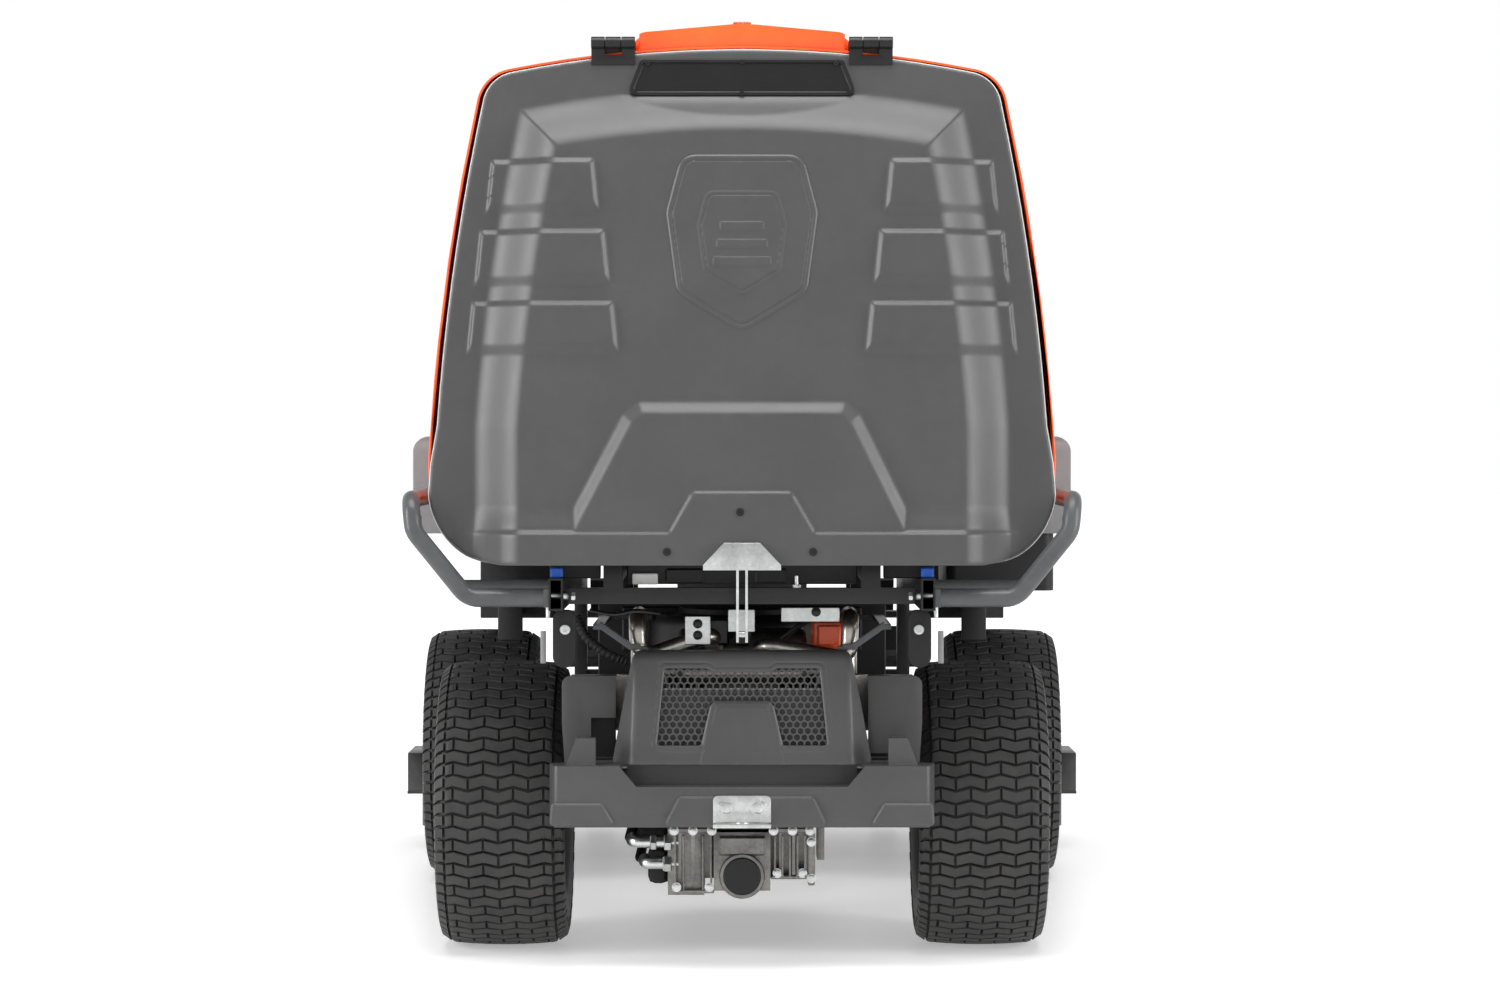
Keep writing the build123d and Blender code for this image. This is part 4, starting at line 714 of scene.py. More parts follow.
def fillWindow(name, outline, pitch, bar, thick, depth, finish):
    xs = [p[0] for p in outline]
    zs = [p[1] for p in outline]
    window = pattern(name + "Window", [(x, -3.0, z) for x, z in outline], [tuple(range(len(outline)))])
    ring = pitch / math.sqrt(3)
    cell = pattern(name + "Cell", *hexRing(ring, ring - bar / 0.866, thick))
    columns = int((max(xs) - min(xs)) / pitch) + 3
    rows = int((max(zs) - min(zs)) / (pitch * 0.866)) + 3
    return grow(name, cellMesh, {"Cell": cell, "Window": window, "Pitch": pitch, "Columns": columns, "Rows": rows,
                                 "Low X": min(xs) - pitch * 0.5, "Low Z": min(zs) - pitch * 0.4, "Depth": depth,
                                 "Material": paint[finish]})


ventMesh = fillWindow("ventMesh", insetPolygon(vent["outer"], 0.0075), vent["pitch"], vent["bar"], 0.0006, -1.0957,
                      "ventBlack")
place(ventMesh, "collector_door", "vent_black")
print("vent made")


# screws: one pattern, put on points that face backwards or upwards
def screwShape(radius, head, socket):
    # a round head towards -Y with a hexagon socket
    profile = [(0.0, radius * 1.02), (-head * 0.55, radius), (-head * 0.9, radius * 0.86), (-head, radius * 0.66),
               (-head, socket), (-head * 0.35, socket * 0.96), (-head * 0.35, 0.0)]
    verts = []
    for along, size in profile:
        for k in range(12):
            a = math.pi * k / 6
            verts.append((size * math.cos(a), along, size * math.sin(a)))
    return verts, tubeFaces(12, len(profile))


def hexShape(radius, head, washer=1.45):
    # a hexagon head on a round washer, towards -Y
    verts = []
    rings = [(0.0, radius * washer, 24), (-head * 0.22, radius * washer, 24), (-head * 0.26, radius * 1.16, 24),
             (-head * 0.9, radius * 1.16, 6), (-head, radius * 1.0, 6), (-head, 0.0, 6)]
    for along, size, corners in rings:
        for k in range(24):
            a = 2 * math.pi * k / 24
            flat = size
            if corners == 6:
                flat = size * math.cos(math.pi / 6) / math.cos((a % (math.pi / 3)) - math.pi / 6)
            verts.append((flat * math.cos(a), along, flat * math.sin(a)))
    return verts, tubeFaces(24, len(rings))


screwFlow = Flow("screwsOnPoints", {"Head": "Object", "Seed": "Int", "Face Up": "Float", "Material": "Material"})
turn = screwFlow.node("FunctionNodeRandomValue", {2: 0.0, 3: 6.28, "Seed": screwFlow.input("Seed")}, out=1)
lean = screwFlow.node("ShaderNodeCombineXYZ", {0: screwFlow.input("Face Up"), 1: turn, 2: 0.0})
headInfo = screwFlow.node("GeometryNodeObjectInfo", {"Object": screwFlow.input("Head")}, out=4)
screwCopies = screwFlow.node("GeometryNodeInstanceOnPoints", {"Points": screwFlow.given.outputs[0],
                                                             "Instance": headInfo, "Rotation": lean})
screwFlow.finish(screwCopies, screwFlow.input("Material"))


def screws(name, spots, head, finish, body, slot, up=False, seed=3):
    cloud = bpy.data.meshes.new(name)
    cloud.from_pydata([tuple(s) for s in spots], [], [])
    piece = grow(name, screwFlow, {"Head": head, "Seed": seed, "Face Up": -math.pi / 2 if up else 0.0,
                                   "Material": paint[finish]}, cloud)
    finishMesh(piece, 35)
    return place(piece, body, slot)


smallScrew = pattern("smallScrew", *screwShape(0.0042, 0.0022, 0.0021))
doorScrewHead = pattern("doorScrewHead", *screwShape(0.0062, 0.0030, 0.0030))
hexTen = pattern("hexTen", *hexShape(0.0080, 0.0062))
hexSix = pattern("hexSix", *hexShape(0.0052, 0.0042))
screws("ventScrews", [(-0.1665, -1.0978, 1.3645), (0.1665, -1.0978, 1.3645), (-0.1460, -1.0978, 1.4085),
                      (0.1460, -1.0978, 1.4085), (0.0, -1.0978, 1.4108), (0.0, -1.0978, 1.3620)],
       smallScrew, "capBlack", "collector_door", "vent_black")
screws("doorScrews", [(-0.003, -1.1655, 0.7133), (-0.1155, -1.1655, 0.6520), (0.1095, -1.1655, 0.6520)],
       doorScrewHead, "capBlack", "collector_door", "vent_black")
print("screws made")

# tyres: a smooth carcass, rows of small staggered blocks round it, and lugs down the shoulder
tyre = dict(radius=0.2314, crown=0.0055, half=0.1037, rows=70, blockDepth=0.0072, gap=0.0042, blockWidth=0.0478,
            blockGap=0.0030, wave=0.0030, axle=0.2315)
wheelSpots = {"rear_left": (-0.385, -0.790), "rear_right": (0.385, -0.790), "front_left": (-0.483, 0.210),
              "front_right": (0.483, 0.210)}


def treadTop(x):
    # outer radius over the tread at a place across it
    share = abs(x) / 0.098
    drop = tyre["crown"] * share ** 2 + 0.010 * max(0.0, (abs(x) - 0.078) / 0.022) ** 2
    return tyre["radius"] - drop


def waveAt(x):
    # the rows wave across the tread, one wave to a block
    share = x / tyre["blockWidth"]
    return tyre["wave"] * (4 * abs(share - round(share)) - 1)


def treadBlock(x0, x1, tangent, depth):
    # a block over x0..x1 that follows the wave, slightly tapered, top edges eased
    verts, faces = [], []
    middle = tyre["blockWidth"] / 2
    bends = [middle * k for k in range(-8, 9) if x0 + 0.003 < middle * k < x1 - 0.003]
    stations = [x0] + bends + [x1]
    if len(stations) < 3:
        stations.insert(1, (x0 + x1) / 2)
    levels = [(-0.0015, 0.0005), (depth * 0.84, 0.0), (depth, -0.0009)]
    size = len(stations)
    for rise, more in levels:
        for side in (-1, 1):
            for k, x in enumerate(stations):
                shift = more * (-1 if k == 0 else (1 if k == size - 1 else 0))
                base = treadTop(x) - tyre["blockDepth"]
                verts.append((x + shift, waveAt(x) + side * (tangent / 2 + more), base + rise))
    loop = list(range(size)) + list(reversed(range(size, 2 * size)))
    for level in range(2):
        a, b = level * 2 * size, (level + 1) * 2 * size
        for k in range(2 * size):
            n = (k + 1) % (2 * size)
            faces.append((a + loop[k], a + loop[n], b + loop[n], b + loop[k]))
    top = 4 * size
    for k in range(size - 1):
        faces.append((top + k, top + k + 1, top + size + k + 1, top + size + k))
    return verts, faces


def lug(side, tangent, longer):
    # a rib that runs over the shoulder and down the sidewall, swept back a little
    verts, faces = [], []
    low = 0.192 if longer else 0.204
    start = 0.0885
    path = [(start, treadTop(start)), (0.0960, treadTop(0.096)), (0.1005, 0.2165), (0.1030, 0.2080), (0.1036, low)]
    inner = [(start, treadTop(start) - 0.0080), (0.0925, 0.2150), (0.0965, 0.2100), (0.0998, 0.2040), (0.1014, low)]
    sweep = [waveAt(start), waveAt(start) + 0.001, waveAt(start) + 0.004, waveAt(start) + 0.006,
             waveAt(start) + 0.007]
    for (x, top), (ix, iz), back in zip(path, inner, sweep):
        for way in (-1, 1):
            verts.append((side * x, -back + way * tangent / 2 * 0.94, top))
            verts.append((side * ix, -back + way * (tangent / 2 + 0.0003), iz))
    for k in range(len(path) - 1):
        a, b = k * 4, k * 4 + 4
        faces += [(a, a + 2, b + 2, b), (a + 1, a, b, b + 1), (a + 2, a + 3, b + 3, b + 2)]
    faces.append((0, 1, 3, 2))
    last = (len(path) - 1) * 4
    faces.append((last, last + 2, last + 3, last + 1))
    return verts, faces


def treadRow(shifted):
    pitch = 2 * math.pi * tyre["radius"] / tyre["rows"]
    length = pitch - tyre["gap"]
    width, trim = tyre["blockWidth"], tyre["blockGap"] / 2
    edges = [-1.5, -0.5, 0.5, 1.5] if not shifted else [-2.0, -1.0, 0.0, 1.0, 2.0]
    edges = [max(-0.0860, min(0.0860, e * width)) for e in edges]
    cells = []
    if not shifted:
        edges = [-0.0860] + edges + [0.0860]
    for x0, x1 in zip(edges, edges[1:]):
        cells.append(treadBlock(x0 + trim, x1 - trim, length, tyre["blockDepth"]))
    for side in (-1, 1):
        cells.append(lug(side, length * 0.9, shifted))
    return join(cells)


treadFlow = Flow("treadRing", {"First Row": "Object", "Second Row": "Object", "Rows": "Int",
                               "Material": "Material"})


def ringOf(label, offset):
    half = treadFlow.math("DIVIDE", treadFlow.input("Rows"), 2.0)
    points = treadFlow.node("GeometryNodePoints", {"Count": half})
    index = treadFlow.node("GeometryNodeInputIndex")
    step = treadFlow.math("DIVIDE", 2 * math.pi, treadFlow.input("Rows"))
    angle = treadFlow.math("MULTIPLY", treadFlow.math("ADD", treadFlow.math("MULTIPLY", index, 2.0), offset), step)
    turnBy = treadFlow.node("ShaderNodeCombineXYZ", {0: angle})
    row = treadFlow.node("GeometryNodeObjectInfo", {"Object": treadFlow.input(label)}, out=4)
    return treadFlow.node("GeometryNodeInstanceOnPoints", {"Points": points, "Instance": row, "Rotation": turnBy})


bothRows = treadFlow.node("GeometryNodeJoinGeometry")
joiner = bothRows.node
treadFlow.tree.links.new(ringOf("First Row", 0.0), joiner.inputs[0])
treadFlow.tree.links.new(ringOf("Second Row", 1.0), joiner.inputs[0])
treadFlow.finish(bothRows, treadFlow.input("Material"))
tread = grow("treadPattern", treadFlow, {"First Row": pattern("rowOne", *treadRow(False)),
                                         "Second Row": pattern("rowTwo", *treadRow(True)),
                                         "Rows": tyre["rows"], "Material": paint["tyreRubber"]})
carcassSide = [(0.0, tyre["radius"] - 0.0070), (0.040, treadTop(0.04) - 0.0070), (0.075, treadTop(0.075) - 0.0072),
               (0.0900, 0.2172), (0.0965, 0.2110), (0.1005, 0.2010), (0.1022, 0.1900), (0.1025, 0.1780),
               (0.1010, 0.1640), (0.1000, 0.1600), (0.1002, 0.1560), (0.0965, 0.1440), (0.0890, 0.1310),
               (0.0842, 0.1262), (0.0838, 0.1236), (0.0800, 0.1200), (0.0760, 0.1186), (0.0752, 0.1180),
               (0.0700, 0.1190), (0.0740, 0.1300), (0.0860, 0.1500), (0.0920, 0.1750), (0.0880, 0.2000),
               (0.0700, 0.2150), (0.0, 0.2180)]
carcass = carcassSide + [(-x, r) for x, r in reversed(carcassSide[1:-1])] + [carcassSide[0]]
carcassMesh = spun(carcass, 120, (0, 0, 0), (1, 0, 0))


def wheelAt(key):
    x, y = wheelSpots[key]
    verts, faces = carcassMesh
    piece = addPiece("tyre" + key.title().replace("_", ""), verts, faces, "tyreRubber", angle=38)
    with edited(piece.data) as work:
        work.from_mesh(tread.data)
    piece.data.transform(Matrix.Translation((x, y, tyre["axle"])))
    finishMesh(piece, 36)
    place(piece, "wheel_" + key, "tyre_rubber", "tyre_" + key)


for key in wheelSpots:
    wheelAt(key)
bpy.data.objects.remove(tread)
print("tyres made")

# the rear cover: a moulded hood with a window, and the hexagon mesh in it
cover = dict(low=0.3180, high=0.4930, backY=-1.0200, front=0.0700, lean=0.028, lowHalf=0.2040, highHalf=0.1700,
             faceHalf=0.1630, round=0.016, step=0.0019, tall=0.175)
grille = dict(pitch=0.0114, bar=0.0013,
              window=((-0.1331, 0.3470), (-0.0640, 0.3470), (-0.0500, 0.4080), (-0.0430, 0.4166), (0.0430, 0.4166),
                      (0.0500, 0.4080), (0.0640, 0.3470), (0.1331, 0.3470), (0.1212, 0.4662), (0.0540, 0.4662),
                      (0.0460, 0.4600), (-0.0460, 0.4600), (-0.0540, 0.4662), (-0.1212, 0.4662)))
windowOutline = roundPolygon(turned(grille["window"]), 0.005, 4)
coverOutline = roundPolygon([(-cover["lowHalf"], cover["low"]), (cover["lowHalf"], cover["low"]),
                             (0.1860, 0.4150), (cover["highHalf"], cover["high"]),
                             (-cover["highHalf"], cover["high"]), (-0.1860, 0.4150)],
                            [0.004, 0.004, 0.06, 0.018, 0.018, 0.06], 6)
grooveOutline = roundPolygon(insetPolygon(turned(grille["window"]), -0.0085), 0.009, 4)


def coverHeight(x, z, depth):
    tall = cover["front"] - cover["lean"] * (z - cover["low"]) / (cover["high"] - cover["low"])
    beside = np.abs(x) - (cover["faceHalf"] - 0.006 * (z - cover["low"]) / cover["tall"])
    fall = np.where(beside < 0, 0.0, np.where(beside < 0.012, 24.0 * beside ** 2, 0.003456 + 1.55 * (beside - 0.012)))
    above = np.clip((z - (cover["high"] - cover["round"])) / cover["round"], 0, 1)
    fall = fall + 0.012 * (1 - np.sqrt(np.clip(1 - above ** 2, 0, 1)))
    foot = np.clip((0.334 - z) / 0.016, 0, 1)
    fall = fall - 0.003 * foot * foot
    groove = signedDistance(x, z, grooveOutline)[0]
    fall = fall + 0.0012 * np.exp(-(groove / 0.0011) ** 2)
    window = signedDistance(x, z, windowOutline)[0]
    fall = fall + 0.0022 * np.clip(1 + window / 0.0030, 0, 1)
    # the middle tab stands a little proud
    tab = np.minimum.reduce([(0.0420 + (0.4130 - z) * 0.28 - np.abs(x)) / 0.004, (0.4130 - z) / 0.004])
    fall = fall - 0.0018 * eased(tab)
    return np.maximum(tall - fall, 0.002)


coverFace = reliefPiece("rearCover", relief(coverOutline, coverHeight, cover["step"], cover["backY"],
                                            [windowOutline]), "bumperGrey", 50)
for vertex in coverFace.data.vertices:
    # the window's inner wall stays a thin lip
    if vertex.co.y > cover["backY"] - 0.0001 and abs(vertex.co.x) < 0.15 and 0.34 < vertex.co.z < 0.475:
        vertex.co.y = -1.0920 + cover["lean"] * (vertex.co.z - cover["low"]) / cover["tall"] + 0.0085
place(coverFace, "rear_section", "bumper_grey", "grille_cover")
grilleMesh = fillWindow("grilleMesh", insetPolygon(turned(grille["window"]), -0.003), grille["pitch"], grille["bar"],
                        0.0022, 0.0, "bumperGrey")
for vertex in grilleMesh.data.vertices:
    vertex.co.y += -1.0850 + cover["lean"] * (vertex.co.z - cover["low"]) / cover["tall"]
place(grilleMesh, "rear_section", "mesh_black", "grille_mesh")
made("coverBaffle", [layered(((-0.150, 0.335), (0.150, 0.335), (0.150, 0.432), (-0.150, 0.432)), 0.002,
                             [(0.0, -1.052), (0.0, -1.058), (0.001, -1.059)], 2)],
     "bumperGrey", "rear_section", "mesh_black")
made("coverStrip", [layered(((-0.132, 0.4325), (0.132, 0.4325), (0.132, 0.4350), (-0.132, 0.4350)), 0.0006,
                            [(0.0, -1.052), (0.0, -1.060), (0.0004, -1.0604)], 1)],
     "zinc", "rear_section", "mesh_black")
print("rear cover made")

# the bumper's raised fields
bumperFields = [
    layered(((-0.1230, 0.2240), (0.1340, 0.2240), (0.1110, 0.2720), (-0.0980, 0.2720)), 0.008,
            [(0.0, -1.1240), (0.0, -1.1262), (0.0035, -1.1300)], 4),
    layered(((-0.2990, 0.2260), (-0.1960, 0.2260), (-0.2170, 0.2610), (-0.2960, 0.2610)), 0.006,
            [(0.0, -1.1240), (0.0, -1.1262), (0.0030, -1.1292)], 4),
    layered(((0.2990, 0.2260), (0.1990, 0.2260), (0.2200, 0.2610), (0.2960, 0.2610)), 0.006,
            [(0.0, -1.1240), (0.0, -1.1262), (0.0030, -1.1292)], 4),
]
made("bumperFields", bumperFields, "bumperGrey", "rear_section", "bumper_grey")
screws("towBolts", [(-0.0240, -1.1340, 0.2540), (0.0250, -1.1340, 0.2540)], hexTen, "zinc", "rear_section", "zinc")
print("bumper made")

# plain nodes keep their CAD form, with eased edges
easing = {
    "bin_shell": 0.0035, "bin_hood": 0.003, "top_lens": 0.001, "tip_frame": 0.002, "bin_hinges": 0.0008,
    "door_hinges": 0.0008, "door_striker": 0.001, "front_frame": 0.002, "pivot_pin": 0.001,
    "front_transaxle": 0.003, "collector_subframe": 0.0025, "tip_bolts": 0.0006, "rubber_stops": 0.003,
    "side_console_left": 0.008, "side_console_right": 0.008, "fuel_tank": 0.006, "mudguards": 0.003,
    "floor_pan": 0.0012, "grass_duct": 0.004, "steering_column": 0.002, "dash_cover": 0.006, "headlamps": 0.002,
    "seat_base": 0.002, "seat_pan": 0.003, "rear_frame": 0.002, "engine_block": 0.002, "fan_housing": 0.002,
    "rear_transaxle": 0.003, "rear_apron": 0.0012, "bumper": 0.004, "tow_plate": 0.0008,
    "cover_braces": 0.0008, "rim_rear_left": 0.0008, "rim_rear_right": 0.0008, "rim_front_left": 0.0008,
    "rim_front_right": 0.0008, "deck_shell": 0.0025, "spindle_housings": 0.002, "belt_cover": 0.003,
    "lift_frame": 0.002, "blade_left": 0.0006, "blade_centre": 0.0006, "blade_right": 0.0006,
    "brake_pedal": 0.0008, "drive_pedal": 0.0008,
}
finishOf = {"front_transaxle": "frameBlack", "grass_duct": "plasticBlack"}
for node, width in easing.items():
    if node in nodes:
        soften(node, width, finishOf.get(node))
# the bin is black below its lower line
binShell = bpy.data.objects["bin_shellEased"]
binShell.data.materials.append(paint["plasticBlack"])
blackBelow = 0.712
with edited(binShell.data) as work:
    bmesh.ops.bisect_plane(work, geom=work.verts[:] + work.edges[:] + work.faces[:], plane_co=(0, 0, blackBelow),
                           plane_no=(0, 0, 1), dist=0.00001)
    for face in work.faces:
        if face.calc_center_median().z < blackBelow:
            face.material_index = 1
print("plain nodes eased")


def slab(x0, x1, y0, y1, z0, z1, ease=0.002):
    # a box with eased edges
    levels = [(ease, y0), (0.0, y0 + ease), (0.0, y1 - ease), (ease, y1)]
    return layered(((x0, z0), (x1, z0), (x1, z1), (x0, z1)), ease * 1.5, [(i, y) for i, y in reversed(levels)], 2)


# the rear gearbox: ribs, flange, bolts and the hydraulic elbows beside it
gearbox = dict(face=-0.9800, flangeLow=0.2000, flangeHigh=0.2080)
ribs = [slab(x - 0.0016, x + 0.0016, gearbox["face"] - 0.004, -0.9600, 0.108, 0.196, 0.0008)
        for x in (-0.106, -0.093, -0.062, -0.049)]
ribs += [slab(x - 0.0016, x + 0.0016, gearbox["face"] - 0.003, -0.9500, 0.130, 0.196, 0.0008)
         for x in (0.052, 0.064, 0.076, 0.088, 0.100)]
ribs += [slab(-0.118, 0.112, -0.9860, -0.9500, gearbox["flangeLow"], gearbox["flangeHigh"], 0.0015),
         slab(-0.112, -0.044, -0.9850, -0.9550, 0.104, 0.110, 0.0015),
         slab(0.046, 0.106, -0.9810, -0.9500, 0.126, 0.132, 0.0015),
         slab(0.1040, 0.1160, -0.9840, -0.9480, 0.116, 0.200, 0.003),
         slab(-0.0380, 0.0380, -0.9930, -0.9700, 0.1640, 0.1960, 0.004)]
ring = spun([(0.0, 0.0300), (0.0, 0.0345), (0.0030, 0.0360), (0.0120, 0.0365), (0.0120, 0.0300), (0.0, 0.0300)], 48,
            (0, -0.9960, 0.1325), (0, 1, 0))
made("gearboxRibs", ribs + [ring], "castAlloy", "rear_section", "cast_alloy")
screws("gearboxBolts", [(x, -0.9862, 0.2040) for x in (-0.108, -0.078, -0.048, 0.050, 0.080, 0.108)]
       + [(0.110, -0.9842, z) for z in (0.128, 0.186)] + [(-0.104, -0.9850, 0.114), (-0.052, -0.9850, 0.114),
       (0.056, -0.9812, 0.1360), (0.096, -0.9812, 0.1360)], hexSix, "zinc", "rear_section", "zinc")


def nut(x0, x1, y, z, radius):
    # a hexagon nut along X
    verts = []
    for x, size in ((x0, radius * 0.9), (x0 + 0.0012, radius), (x1 - 0.0012, radius), (x1, radius * 0.9)):
        for k in range(6):
            a = math.radians(60 * k)
            verts.append((x, y + size * math.cos(a), z + size * math.sin(a)))
    return verts, [tuple(range(6)), tuple(reversed(range(18, 24)))] + tubeFaces(6, 4)


elbows = []
for x, z, far in ((-0.176, 0.184, -0.112), (-0.156, 0.150, -0.112)):
    elbows.append(pipe(bentPath([(x, -0.9350, z + 0.004), (x, -0.9700, z), (far, -0.9700, z)], 0.016), 0.0088, 16))
    elbows.append(nut(x + 0.030, x + 0.040, -0.9700, z, 0.0125))
    elbows.append(nut(far - 0.012, far, -0.9700, z, 0.0135))
    elbows.append(pipe([(far - 0.001, -0.9700, z), (far + 0.012, -0.9700, z)], 0.0065, 16))
made("hydraulicElbows", elbows, "zinc", "rear_section", "zinc")
hoses = [pipe(bentPath([(-0.176, -0.9350, 0.188), (-0.176, -0.9000, 0.192), (-0.150, -0.860, 0.225),
                        (-0.120, -0.800, 0.235)], 0.03), 0.0095, 14),
         pipe(bentPath([(-0.156, -0.9350, 0.154), (-0.156, -0.9050, 0.150), (-0.130, -0.880, 0.130),
                        (-0.100, -0.860, 0.120)], 0.02), 0.0095, 14),
         slab(-0.150, -0.116, -0.9560, -0.9200, 0.116, 0.176, 0.008),
         slab(-0.168, -0.116, -0.9500, -0.9150, 0.176, 0.208, 0.008)]
made("gearboxHoses", hoses, "rubberBlack", "rear_section", "rubber_black")

# round the engine: dark bulkhead, hoses, plates and small parts that show between cover and bin
ridges = []
path = bentPath([(-0.262, -0.9900, 0.545), (-0.250, -0.9900, 0.512), (-0.214, -0.9900, 0.484),
                 (-0.180, -0.9850, 0.472)], 0.03, 8)
for a, b in zip(path, path[1:]):
    steps = max(2, int((b - a).length / 0.0015))
    ridges += [a.lerp(b, k / steps) for k in range(steps)]
sizes = [0.0072 + 0.0010 * math.sin(k * 1.6) for k in range(len(ridges))]
made("airHose", [pipe(ridges, sizes, 14)], "rubberBlack", "rear_section", "rubber_black", 60)
bulkhead = [slab(-0.2400, 0.2400, -0.6520, -0.6480, 0.400, 0.5500),
            slab(-0.2000, -0.0700, -0.6600, -0.6500, 0.470, 0.545, 0.003),
            slab(0.0700, 0.2000, -0.6600, -0.6500, 0.470, 0.545, 0.003),
            slab(-0.262, -0.200, -0.9790, -0.9750, 0.319, 0.392),
            slab(0.200, 0.262, -0.9790, -0.9750, 0.319, 0.392)]
made("engineBulkhead", bulkhead, "plasticBlack", "rear_section", "black_plastic")
shroud = [slab(0.110, 0.168, -0.9300, -0.8880, 0.486, 0.536, 0.006),
          slab(0.120, 0.158, -0.9380, -0.9280, 0.494, 0.528, 0.003)]
made("coolingShroud", shroud, "orangePaint", "rear_section", "bin_orange")
plates = [slab(0.062, 0.154, -1.0030, -1.0000, 0.536, 0.5590, 0.001),
          slab(-0.0900, -0.0500, -0.9990, -0.9960, 0.500, 0.545, 0.001),
          slab(-0.022, 0.020, -1.0030, -1.0000, 0.5200, 0.5560, 0.001)]
made("engineBrackets", plates, "zinc", "rear_section", "zinc")
screws("bracketBolts", [(0.117, -1.0032, 0.5520), (-0.070, -0.9992, 0.5150), (-0.070, -0.9992, 0.5330)], hexSix,
       "capBlack", "rear_section", "zinc")
blocks = [slab(-0.080, -0.020, -0.9700, -0.9400, 0.497, 0.540, 0.004),
          slab(-0.012, 0.014, -0.9850, -0.9500, 0.497, 0.552, 0.004),
          pipe(bentPath([(-0.240, -1.0300, 0.556), (-0.200, -1.0300, 0.548), (-0.170, -1.0250, 0.556),
                         (-0.130, -1.0100, 0.550)], 0.02), 0.0032, 8),
          pipe(bentPath([(0.060, -0.960, 0.505), (0.100, -0.965, 0.535), (0.140, -0.960, 0.552)], 0.02), 0.0045, 8)]
made("wiringAndRegulator", blocks, "capBlack", "rear_section", "black_plastic")

# under the bin's floor
beams = [slab(-0.180, 0.180, -1.0860, -1.0820, 0.5990, 0.6310), slab(-0.300, -0.220, -1.0860, -1.0820, 0.6080, 0.6310),
         slab(0.220, 0.300, -1.0860, -1.0820, 0.6080, 0.6310),
         slab(-0.120, -0.060, -1.0900, -1.0840, 0.6000, 0.6240, 0.003),
         slab(0.020, 0.070, -1.0900, -1.0840, 0.6000, 0.6240, 0.003)]
made("binFloorBeams", beams, "plasticBlack", "collector_bin", "black_plastic")
made("binFloorTag", [slab(-0.171, -0.131, -1.0950, -1.0870, 0.5990, 0.6160, 0.0015)], "whiteNylon", "collector_bin",
     "console_grey")
studs = []
for x in (0.0847, 0.206):
    studs.append(pipe([(x, -1.1080, 0.5940), (x, -1.1080, 0.6130)], 0.0032, 12))
    studs.append(spun([(0.0, 0.0), (0.0, 0.0070), (0.0045, 0.0070), (0.0055, 0.0040), (0.0055, 0.0)], 6,
                      (x, -1.1080, 0.5945), (0, 0, 1)))
made("crossTubeStuds", studs, "zinc", "collector_bin", "zinc")

# the subframe's ends: blue pads, round bolts on the rubber stops, spacers and thin struts
made("padsBlue", [slab(side * 0.2875 - 0.0095, side * 0.2875 + 0.0095, -1.1240, -1.0950, 0.6104, 0.6260, 0.002)
                  for side in (-1, 1)], "clearBlue", "front_chassis", "zinc")
roundBolt = pattern("roundBolt", *screwShape(0.0088, 0.0052, 0.0034))
screws("stopBolts", [(-0.2745, -1.1138, 0.5297), (0.2745, -1.1138, 0.5297)], roundBolt, "zinc", "front_chassis", "zinc")
spacers = [pipe([(side * 0.3010, -1.1060, 0.5480), (side * 0.3010, -1.1060, 0.5640)], 0.0040, 12) for side in (-1, 1)]
spacers += [nut(side * 0.262 - 0.0035, side * 0.262 + 0.0035, -1.1160, 0.5820, 0.0080) for side in (-1, 1)]
made("stopSpacers", spacers, "zinc", "front_chassis", "zinc")
struts = [pipe([(side * 0.309, -1.1060, 0.4770), (side * 0.309, -1.1060, 0.5270)], 0.0044, 14) for side in (-1, 1)]
made("stopStruts", struts, "consoleGrey", "front_chassis", "console_grey")

# side consoles: panel lines, lever gates, levers, foot treads and the fuel cap
consoleLines = [slab(low, high, -0.470, 0.440, z, z + 0.0030, 0.0006)
                for low, high in ((-0.5628, -0.5604), (0.5604, 0.5620)) for z in (0.700, 0.742)]
made("consoleLines", consoleLines, "plasticBlack", "front_chassis", "black_plastic")
gates = []
for side, y0, y1 in ((1, 0.020, 0.150), (-1, 0.020, 0.110)):
    gates.append(layered(((side * 0.400, y0), (side * 0.440, y0), (side * 0.440, y1), (side * 0.400, y1)), 0.006,
                         [(0.0, 0.8275), (0.0, 0.8295), (0.0015, 0.8305)], 3))
gateParts = [([(x, z, y) for x, y, z in verts], faces) for verts, faces in gates]
made("leverGates", gateParts, "capBlack", "front_chassis", "black_plastic")
levers = []
for x, y, tilt in ((0.420, 0.060, 0.012), (0.420, 0.110, -0.010), (-0.420, 0.060, 0.008)):
    levers.append(pipe([(x, y, 0.8250), (x, y + tilt, 0.8800)], [0.0045, 0.0040], 14))
    levers.append(spun([(0.0, 0.0), (0.0, 0.0060), (0.006, 0.0105), (0.016, 0.0125), (0.026, 0.0105), (0.031, 0.0050),
                        (0.0320, 0.0)], 20, (x, y + tilt, 0.8780), (0, 0, 1)))
made("levers", levers, "capBlack", "front_chassis", "black_plastic")
treads = [layered(((x - 0.052, y0), (x + 0.052, y0), (x + 0.052, y0 + 0.010), (x - 0.052, y0 + 0.010)), 0.003,
                  [(0.0, 0.4100), (0.0, 0.4120), (0.0008, 0.4128)], 2)
          for x in (-0.267, 0.267) for y0 in (0.190, 0.215, 0.240, 0.265, 0.290, 0.315, 0.340, 0.365, 0.390)]
treadParts = [([(x, z, y) for x, y, z in verts], faces) for verts, faces in treads]
made("footTreads", treadParts, "rubberBlack", "front_chassis", "rubber_black")
capNeck = [spun([(0.0, 0.0), (0.0, 0.030), (0.004, 0.032), (0.020, 0.032), (0.024, 0.028), (0.024, 0.0)], 24,
                (0.470, -0.120, 0.8270), (0, 0, 1))]
